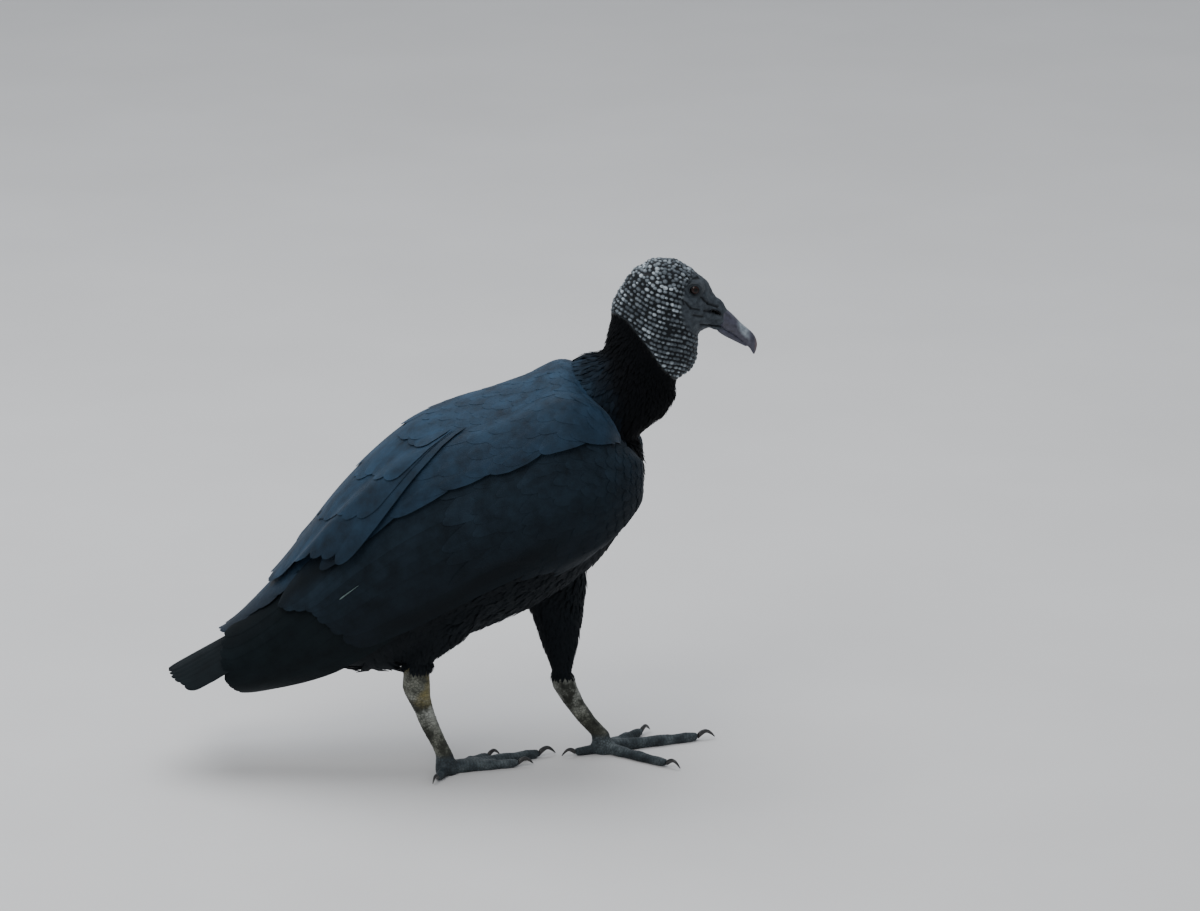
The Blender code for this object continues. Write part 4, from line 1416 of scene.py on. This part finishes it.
def scapular_rows(seed):
    """Rows of shoulder feathers, long behind and shorter in front."""
    draw = np.random.default_rng(seed)
    plan = []
    for number, tip in enumerate([*np.arange(11.6, 6.9, -0.66), *np.arange(6.9, 3.3, -0.42)]):
        low = float(np.interp(tip, (3.3, 3.8, 4.4, 5.2), (22.0, 34.0, 50.0, 57.0)))
        upper = float(ramp(tip, 3.0, 6.0, 16.0, 8.0))
        half, length = (12.0, 2.3) if tip > 6.5 else (10.0, 1.5)
        sunk = -0.8 - 4.0 * float(ramp(tip, 4.6, 3.4))
        for angle in spread(7, upper, low - 4.0, draw, 0.12) + (number % 2) * 3.0:
            reach = tip + draw.normal(0.0, 0.05)
            high = 0.1 + draw.normal(0.0, 0.07)
            plan.append((reach - length, angle - 3.0, reach, angle + 2.0, half, sunk, high, 0.15))
    return plan


def tertial_rows(seed):
    """Four rows of tertials, each a little ahead of the one below it."""
    draw = np.random.default_rng(seed)
    plan = []
    rows = ((0.0, 9, 61.0, 15.0), (1.4, 7, 48.0, 15.0), (2.6, 6, 38.0, 15.0), (3.7, 5, 29.0, 14.0))
    for back, count, widest, half in rows:
        for angle in spread(count, widest, 9.0, draw, 0.1):
            edge = np.interp(angle, (10.0, 28.0, 40.0, 51.0, 61.0), (13.1, 12.7, 12.2, 11.6, 10.9))
            tip = float(edge) - back
            squeeze = float(ramp(tip, 11.0, 13.0, 0.0, 16.0)) * angle / 61.0
            root = max(7.3, tip - 4.3)
            reach = tip + draw.normal(0.0, 0.05)
            high = 0.15 + draw.normal(0.0, 0.07)
            plan.append((root, 2.0 + 0.33 * angle, reach, angle - squeeze, half, -4.5, high, 0.3))
    return plan


def mantle_rows(seed):
    """Short rounded feathers of the upper back."""
    draw = np.random.default_rng(seed)
    plan = []
    for number, tip in enumerate(np.arange(8.7, 2.55, -0.37)):
        low = float(np.interp(tip, [2.0, 3.5, 6.0, 8.7], [40.0, 28.0, 28.0, 31.0]))
        sunk = -0.8 - 3.2 * float(ramp(tip, 4.0, 2.7))
        for angle in spread(6, 2.0, low, draw, 0.14) + (number % 2) * 2.5:
            reach = tip + draw.normal(0.0, 0.06)
            high = 0.12 + draw.normal(0.0, 0.07)
            plan.append((reach - 1.15, angle - 1.0, reach, angle + 1.0, 9.3, sunk, high, 0.1))
    return plan


def shoulder_height(place, angle):
    """Outer height of the shoulder feathers, which rise out of the coat in front."""
    return 0.6 + (scapular_outer(place, angle) - 0.6) * ramp(place, 1.7, 4.0)


def rump_rows(seed):
    """Upper tail coverts, which roof the gap between the folded wings."""
    draw = np.random.default_rng(seed)
    plan = []
    for tip, half in ((15.1, 11.0), (14.6, 12.0), (14.1, 13.0), (13.6, 14.0), (13.1, 15.0), (12.6, 16.0)):
        for angle in spread(4, 3.0, float(ramp(tip, 12.6, 15.5, 28.0, 8.0)), draw, 0.1):
            reach = tip + draw.normal(0.0, 0.05)
            high = 0.2 + draw.normal(0.0, 0.08)
            plan.append((tip - 2.5, 1.1 * angle, reach, angle, half, -1.2, high, 0.15))
    return plan


def mantle_height(place, angle):
    """Outer height of the mantle: on the back in front, rising over the shoulder feathers behind."""
    behind = ramp(place, 4.8, 10.3)
    front = 1.2 + 3.2 * ramp(place, 2.6, 4.0)
    return front + (tertial_outer(place, np.minimum(angle, 26.0)) + 0.6 - front) * behind


# ---------------------------------------------------------------------------------------------
# Tail
# ---------------------------------------------------------------------------------------------
TAIL_ROOT = np.array([-112.0 + CENTRING, 0.0, 194.0])
TAIL_TIP = np.array([-279.0 + CENTRING, 0.0, 96.0])
TAIL_PER_SIDE = 6
# The tail's feathers are laid from this share of the way from root to tip.
TAIL_START = 0.22


def build_tail(finish):
    """Twelve tail feathers, the middle pair on top, arched across the fan."""
    draw = np.random.default_rng(71)
    rings = 20
    columns = 9
    share = np.sin(np.linspace(0.0, math.pi / 2, rings))[None, :, None]
    across = np.linspace(-1.0, 1.0, columns)[None, None, :]
    line = TAIL_TIP - TAIL_ROOT
    length = np.linalg.norm(line)
    direction = line / length
    upward = np.cross(np.array([0.0, 1.0, 0.0]), direction)
    number = np.arange(2 * TAIL_PER_SIDE)
    side = np.where(number % 2 == 0, -1.0, 1.0)
    order = number // 2
    fan = (side * (order + 0.45) / (TAIL_PER_SIDE + 0.1))[:, None, None]
    reach = (length - 1.0 - 17.0 * fan**2) * (1.0 + draw.normal(0.0, 0.006, fan.shape))
    along = TAIL_START + (1.0 - TAIL_START) * share
    uneven = 1.0 + draw.normal(0.0, 0.012, (len(number), rings, columns))
    spread_out = 16.0 + 29.0 * along**1.3
    wide = fan * spread_out + 11.5 * outline(share, blunt=0.11, root=0.45) * uneven * across
    depth = 12.5 * (wide / spread_out) ** 2 + 0.55 * order[:, None, None]
    shingle = 0.6 * across * side[:, None, None]
    shaft = 0.35 * np.exp(-((across / 0.09) ** 2))
    rise = -depth - 1.0 + shingle + shaft - 0.5 * across**2
    top = TAIL_ROOT + direction * (reach * along)[..., None] + upward * rise[..., None]
    top[..., 1] += wide
    roots = np.stack([np.full(len(number), 0.05), 0.5 + 0.4 * fan[:, 0, 0]], axis=1)
    item = vane_object("tail_feathers", top[:, :, ::-1], 0.45, draw.random(len(number)), roots, finish)
    # No painted light or shade on the tail.
    point_attribute(item, "shade", np.ones(len(number)))
    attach(item, "root")
    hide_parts("tail")


# ---------------------------------------------------------------------------------------------
# Bill, eyes and claws
# ---------------------------------------------------------------------------------------------
# Horn of the bill: upper point (along, up), lower point and half width, like the solids' own rows.
HORN_UPPER_ROWS = (
    (252.0, 454.4, 248.4, 437.2, 7.6),
    (254.2, 453.2, 250.6, 435.1, 8.9),
    (257.6, 450.6, 254.4, 432.9, 8.7),
    (262.6, 445.8, 258.8, 430.2, 8.0),
    (268.9, 439.2, 264.8, 426.2, 7.0),
    (275.1, 433.9, 270.0, 421.6, 5.9),
    (280.2, 429.0, 274.6, 417.5, 4.7),
    (282.9, 424.4, 277.3, 414.6, 3.7),
    (284.2, 418.7, 279.0, 411.8, 2.7),
    (283.3, 413.1, 280.2, 409.8, 1.5),
    (281.6, 409.0, 281.2, 408.8, 0.5),
)
HORN_LOWER_ROWS = (
    (247.5, 438.0, 246.4, 432.2, 6.6),
    (249.6, 437.0, 248.2, 430.4, 7.6),
    (255.0, 434.0, 253.3, 426.9, 7.1),
    (263.0, 429.0, 261.1, 422.8, 6.0),
    (270.0, 423.5, 268.6, 418.9, 4.4),
    (274.0, 419.0, 273.0, 416.8, 2.4),
    (275.2, 417.8, 274.8, 416.9, 0.9),
)
HORN_RINGS = 56
HORN_SIDES = 40


def tube_object(name, points, finish):
    """A closed object from rings of points."""
    corners, sizes = tube(*points.shape[:2])
    item = object_from(name, points.reshape(-1, 3), corners, sizes, finish)
    with edited(item.data) as shape:
        bmesh.ops.recalc_face_normals(shape, faces=shape.faces)
    return item


def build_horn(name, rows, node_name, flat_side, finish):
    """A smooth horn sheath. flat_side is -1 where the underside is the flat one, 1 where the top is."""
    row = table_at(rows, np.linspace(0.0, len(rows) - 1.0, HORN_RINGS))
    turned = 2 * math.pi * np.arange(HORN_SIDES) / HORN_SIDES
    upper = np.stack([row[:, 0] + CENTRING, 0 * row[:, 0], row[:, 1]], axis=1)[:, None]
    lower = np.stack([row[:, 2] + CENTRING, 0 * row[:, 0], row[:, 3]], axis=1)[:, None]
    cosine = np.cos(turned)[None, :, None]
    sine = np.sin(turned)[None, :]
    # The flat side keeps the full width down to the cutting edge.
    toward_flat = np.clip(flat_side * cosine[..., 0], 0.0, 1.0)
    points = (upper + lower) / 2 + (upper - lower) / 2 * np.sign(cosine) * np.abs(cosine) ** 0.9
    points[..., 1] = row[:, 4:5] * np.sign(sine) * np.abs(sine) ** (0.92 - 0.5 * toward_flat)
    item = tube_object(name, points, finish)
    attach(item, "root")
    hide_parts(node_name)


def build_eye(side_name, side, finish):
    """An eyeball with a bulging clear front; iris holds the distance from the middle of the eye."""
    centre, radius = eye_ball(side_name)
    rings = 40
    sides = 48
    gaze = unit(np.array([0.22, side * 0.97, 0.04]))
    first = unit(np.cross(gaze, np.array([0.0, 0.0, 1.0])))
    second = np.cross(gaze, first)
    tilt = np.linspace(0.0, math.pi, rings + 2)[1:-1]
    turned = 2 * math.pi * np.arange(sides) / sides
    bulge = 1.0 + 0.035 * np.exp(-((tilt / 0.62) ** 2))
    ring = (first[None] * np.cos(turned)[:, None] + second[None] * np.sin(turned)[:, None])[None]
    points = centre + radius * bulge[:, None, None] * (
        gaze * np.cos(tilt)[:, None, None] + ring * np.sin(tilt)[:, None, None]
    )
    item = tube_object(f"eyeball_{side_name}", points, finish)
    point_attribute(item, "iris", np.repeat(np.sin(np.minimum(tilt, math.pi / 2)), sides))
    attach(item, "root")
    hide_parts(f"eye_{side_name}")


def build_talon(name, side_name, finish):
    """The solid's claw, rounded off by subdivision."""
    node_name = f"claw_{name}_{side_name}"
    talon_name = f"talon_{name}_{side_name}"
    item = add_object(talon_name, joined_mesh(talon_name, [node_name]))
    item.modifiers.new("round", "SUBSURF").levels = 2
    grow(item, 0.12)
    item.data = evaluated(item)
    item.modifiers.clear()
    item.data.shade_smooth()
    item.data.materials.clear()
    item.data.materials.append(finish)
    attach(item, "root")
    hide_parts(node_name)


def feather_material(name, dark, light, roughness, sheen, specular, barb=0.25):
    """Black feather: each vane a little lighter or darker, worn paler at its tip, with fine barbs. The
    painted light in the shade attribute sets how much of the light colour shows.
    """
    material, tree = new_material(
        name, roughness, Specular_IOR_Level=specular, Sheen_Weight=sheen, Sheen_Roughness=0.4,
        Sheen_Tint=(0.62, 0.78, 1.0, 1.0),
    )
    mottle = noise(tree, 55.0, 4.0, 0.6)
    cloudy = ((mottle - 0.5) * 1.8 + 0.5).held()
    share = attribute(tree, "tone") * 0.2 + cloudy * 0.8 + attribute(tree, "along") ** 5.0 * 0.07
    # The light colour's share: random tone and mottle and worn tips, scaled by the painted light and shade.
    colour = mix_colour((share * attribute(tree, "shade")).held(), dark, light)
    barbs = (attribute(tree, "barb") * 9.5).sine()
    colour_and_relief(tree, colour, barbs * 0.3 + mottle, barb)
    return material


def horn_material():
    """Dark horn with a pale patch toward the hook and a pinkish cutting edge at its front."""
    material, tree = new_material("horn_finish", 0.36, Specular_IOR_Level=0.5)
    ahead, up = along_axes(tree)
    streaks = noise(tree, 190.0, 4.0, 0.6)
    dark = colour_ramp(streaks, (0.3, (0.019, 0.019, 0.03)), (0.7, (0.06, 0.061, 0.092)))
    pale = colour_ramp(streaks, (0.3, (0.12, 0.14, 0.165)), (0.7, (0.29, 0.335, 0.37)))
    # The patch lies within 6.6 mm below the line of the bill's ridge.
    below = 0.5005 - (ahead * 0.71 + up * 0.704)
    upper = ((0.0066 - below) * 330.0 + streaks * 1.2).held()
    patch = (upper * ((ahead - 0.2625) * 230.0).held() * ((0.2765 - ahead) * 230.0).held()).held()
    colour = mix_colour(patch, dark, pale)
    colour = mix_colour(((ahead - 0.2795) * 420.0).held() * 0.75, colour, (0.16, 0.105, 0.1))
    colour_and_relief(tree, colour, streaks, 0.18, 0.0006)
    return material


def eye_material():
    """Black pupil, dark brown iris and a dark rim."""
    material, tree = new_material(
        "eye_finish", 0.14, Specular_IOR_Level=0.18, Coat_Weight=0.12, Coat_Roughness=0.02
    )
    ring = attribute(tree, "iris") + (noise(tree, 900.0) - 0.5) * 0.05
    pupil = (0.001, 0.001, 0.001)
    colour = colour_ramp(
        ring, (0.0, pupil), (0.3, pupil), (0.35, (0.012, 0.0035, 0.0025)), (0.55, (0.02, 0.005, 0.0035)),
        (0.68, (0.003, 0.002, 0.002)), (1.0, (0.004, 0.003, 0.003)),
    )
    colour_and_relief(tree, colour)
    return material


def claw_material():
    material, tree = new_material("claw_finish", 0.28, Specular_IOR_Level=0.55)
    streaks = noise(tree, 300.0)
    colour = colour_ramp(streaks, (0.35, (0.008, 0.008, 0.009)), (0.7, (0.035, 0.033, 0.032)))
    colour_and_relief(tree, colour, streaks, 0.12, 0.0004)
    return material


def build_wing(side_name, side, finishes):
    """One side's feathers, from the lowest layer up. Each layer has two seeds of its own."""
    first = 100 if side < 0 else 200

    def lay(name, rows, layer, finish, slot, step, **form):
        seed = first + step
        return lay_feathers(
            f"{name}_feathers_{side_name}", side, rows(seed), layer, finishes[finish], slot, seed + 1, **form
        )

    item = lay("primary", primaries, lambda place, angle: 1.0, "flight", "flight_feathers", 0, rings=22)
    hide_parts(f"primaries_{side_name}")
    lay("secondary", secondaries, wing_outer, "covert", "plumage", 2, rings=22, shade=covert_shade)
    small = {"rings": 9, "columns": 7, "blunt": 0.5}
    lay(
        "covert", covert_rows, covert_height, "covert", "plumage", 4,
        camber=0.15, thick=0.25, shade=covert_shade, **small,
    )
    lay_feathers(
        f"worn_shaft_{side_name}", side, [(10.55, 82.0, 11.1, 82.6, 0.7, 1.1, 1.2, 0.0)],
        lambda place, angle: wing_outer(place, angle) - 0.9, finishes["shaft"], "flight_feathers", first + 14,
        rings=10, columns=5, camber=0.3, thick=0.3,
    )
    item = lay(
        "scapular", scapular_rows, shoulder_height, "back", "back_plumage", 6,
        rings=12, columns=7, camber=0.08, thick=0.2, blunt=0.4, shade=back_shade,
    )
    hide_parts(f"scapulars_{side_name}")
    item = lay(
        "tertial", tertial_rows, tertial_outer, "back", "back_plumage", 8,
        camber=0.2, thick=0.25, blunt=0.2, shade=back_shade,
    )
    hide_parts(f"tertials_{side_name}")
    lay(
        "rump", rump_rows, lambda place, angle: ramp(place, 15.0, 12.3, 1.6, 5.5), "back", "back_plumage", 12,
        rings=14, columns=7, camber=0.15, thick=0.25, blunt=0.3, shade=back_shade,
    )
    lay(
        "mantle", mantle_rows, mantle_height, "back", "back_plumage", 10,
        camber=0.06, thick=0.18, shade=back_shade, **small,
    )


def covert_height(place, angle):
    """Outer height of the coverts: the wing's own, falling to the breast at the wrist and below."""
    low = wing_low(place)
    front = ramp(place, 0.55, 1.9)
    under = ramp(angle, low + 5.0, low - 12.0)
    return 0.8 + (wing_outer(place, angle) - 0.8) * front * under


build_camera()
build_floor()
build_light()
skin_base = build_skin(skin_material())
# Looks of the feathers: dark and light colour, roughness, sheen and specular, then the barbs' relief. On the
# neck, back and coverts the bluish light colour, mixed in by the painted light, is a painted blue sky
# reflection.
FEATHER_LOOKS = {
    "neck": ((0.0012, 0.0017, 0.0026), (0.034, 0.066, 0.106), 0.85, 0.0, 0.12, 0.1),
    "body": ((0.0018, 0.003, 0.0044), (0.005, 0.0078, 0.0105), 0.75, 0.02, 0.14),
    "covert": ((0.0024, 0.0044, 0.0062), (0.018, 0.034, 0.052), 0.62, 0.03, 0.1),
    "back": ((0.0018, 0.0055, 0.0105), (0.02, 0.058, 0.108), 0.55, 0.05, 0.17),
    "shaft": ((0.03, 0.05, 0.05), (0.16, 0.23, 0.22), 0.5, 0.0, 0.3, 0.1),
    "flight": ((0.0018, 0.0036, 0.0047), (0.0056, 0.0104, 0.013), 0.6, 0.01, 0.08),
}
FINISHES = {name: feather_material(f"{name}_finish", *look) for name, look in FEATHER_LOOKS.items()}
build_skin_feathers(skin_base, FINISHES)
for side_name, side in SIDES:
    build_wing(side_name, side, FINISHES)
build_tail(FINISHES["flight"])
HORN = horn_material()
build_horn("horn_upper", HORN_UPPER_ROWS, "bill_upper", -1.0, HORN)
build_horn("horn_lower", HORN_LOWER_ROWS, "bill_lower", 1.0, HORN)
EYE = eye_material()
CLAW = claw_material()
for side_name, side in SIDES:
    build_eye(side_name, side, EYE)
    for claw_name in ("outer", "middle", "inner", "back"):
        build_talon(claw_name, side_name, CLAW)
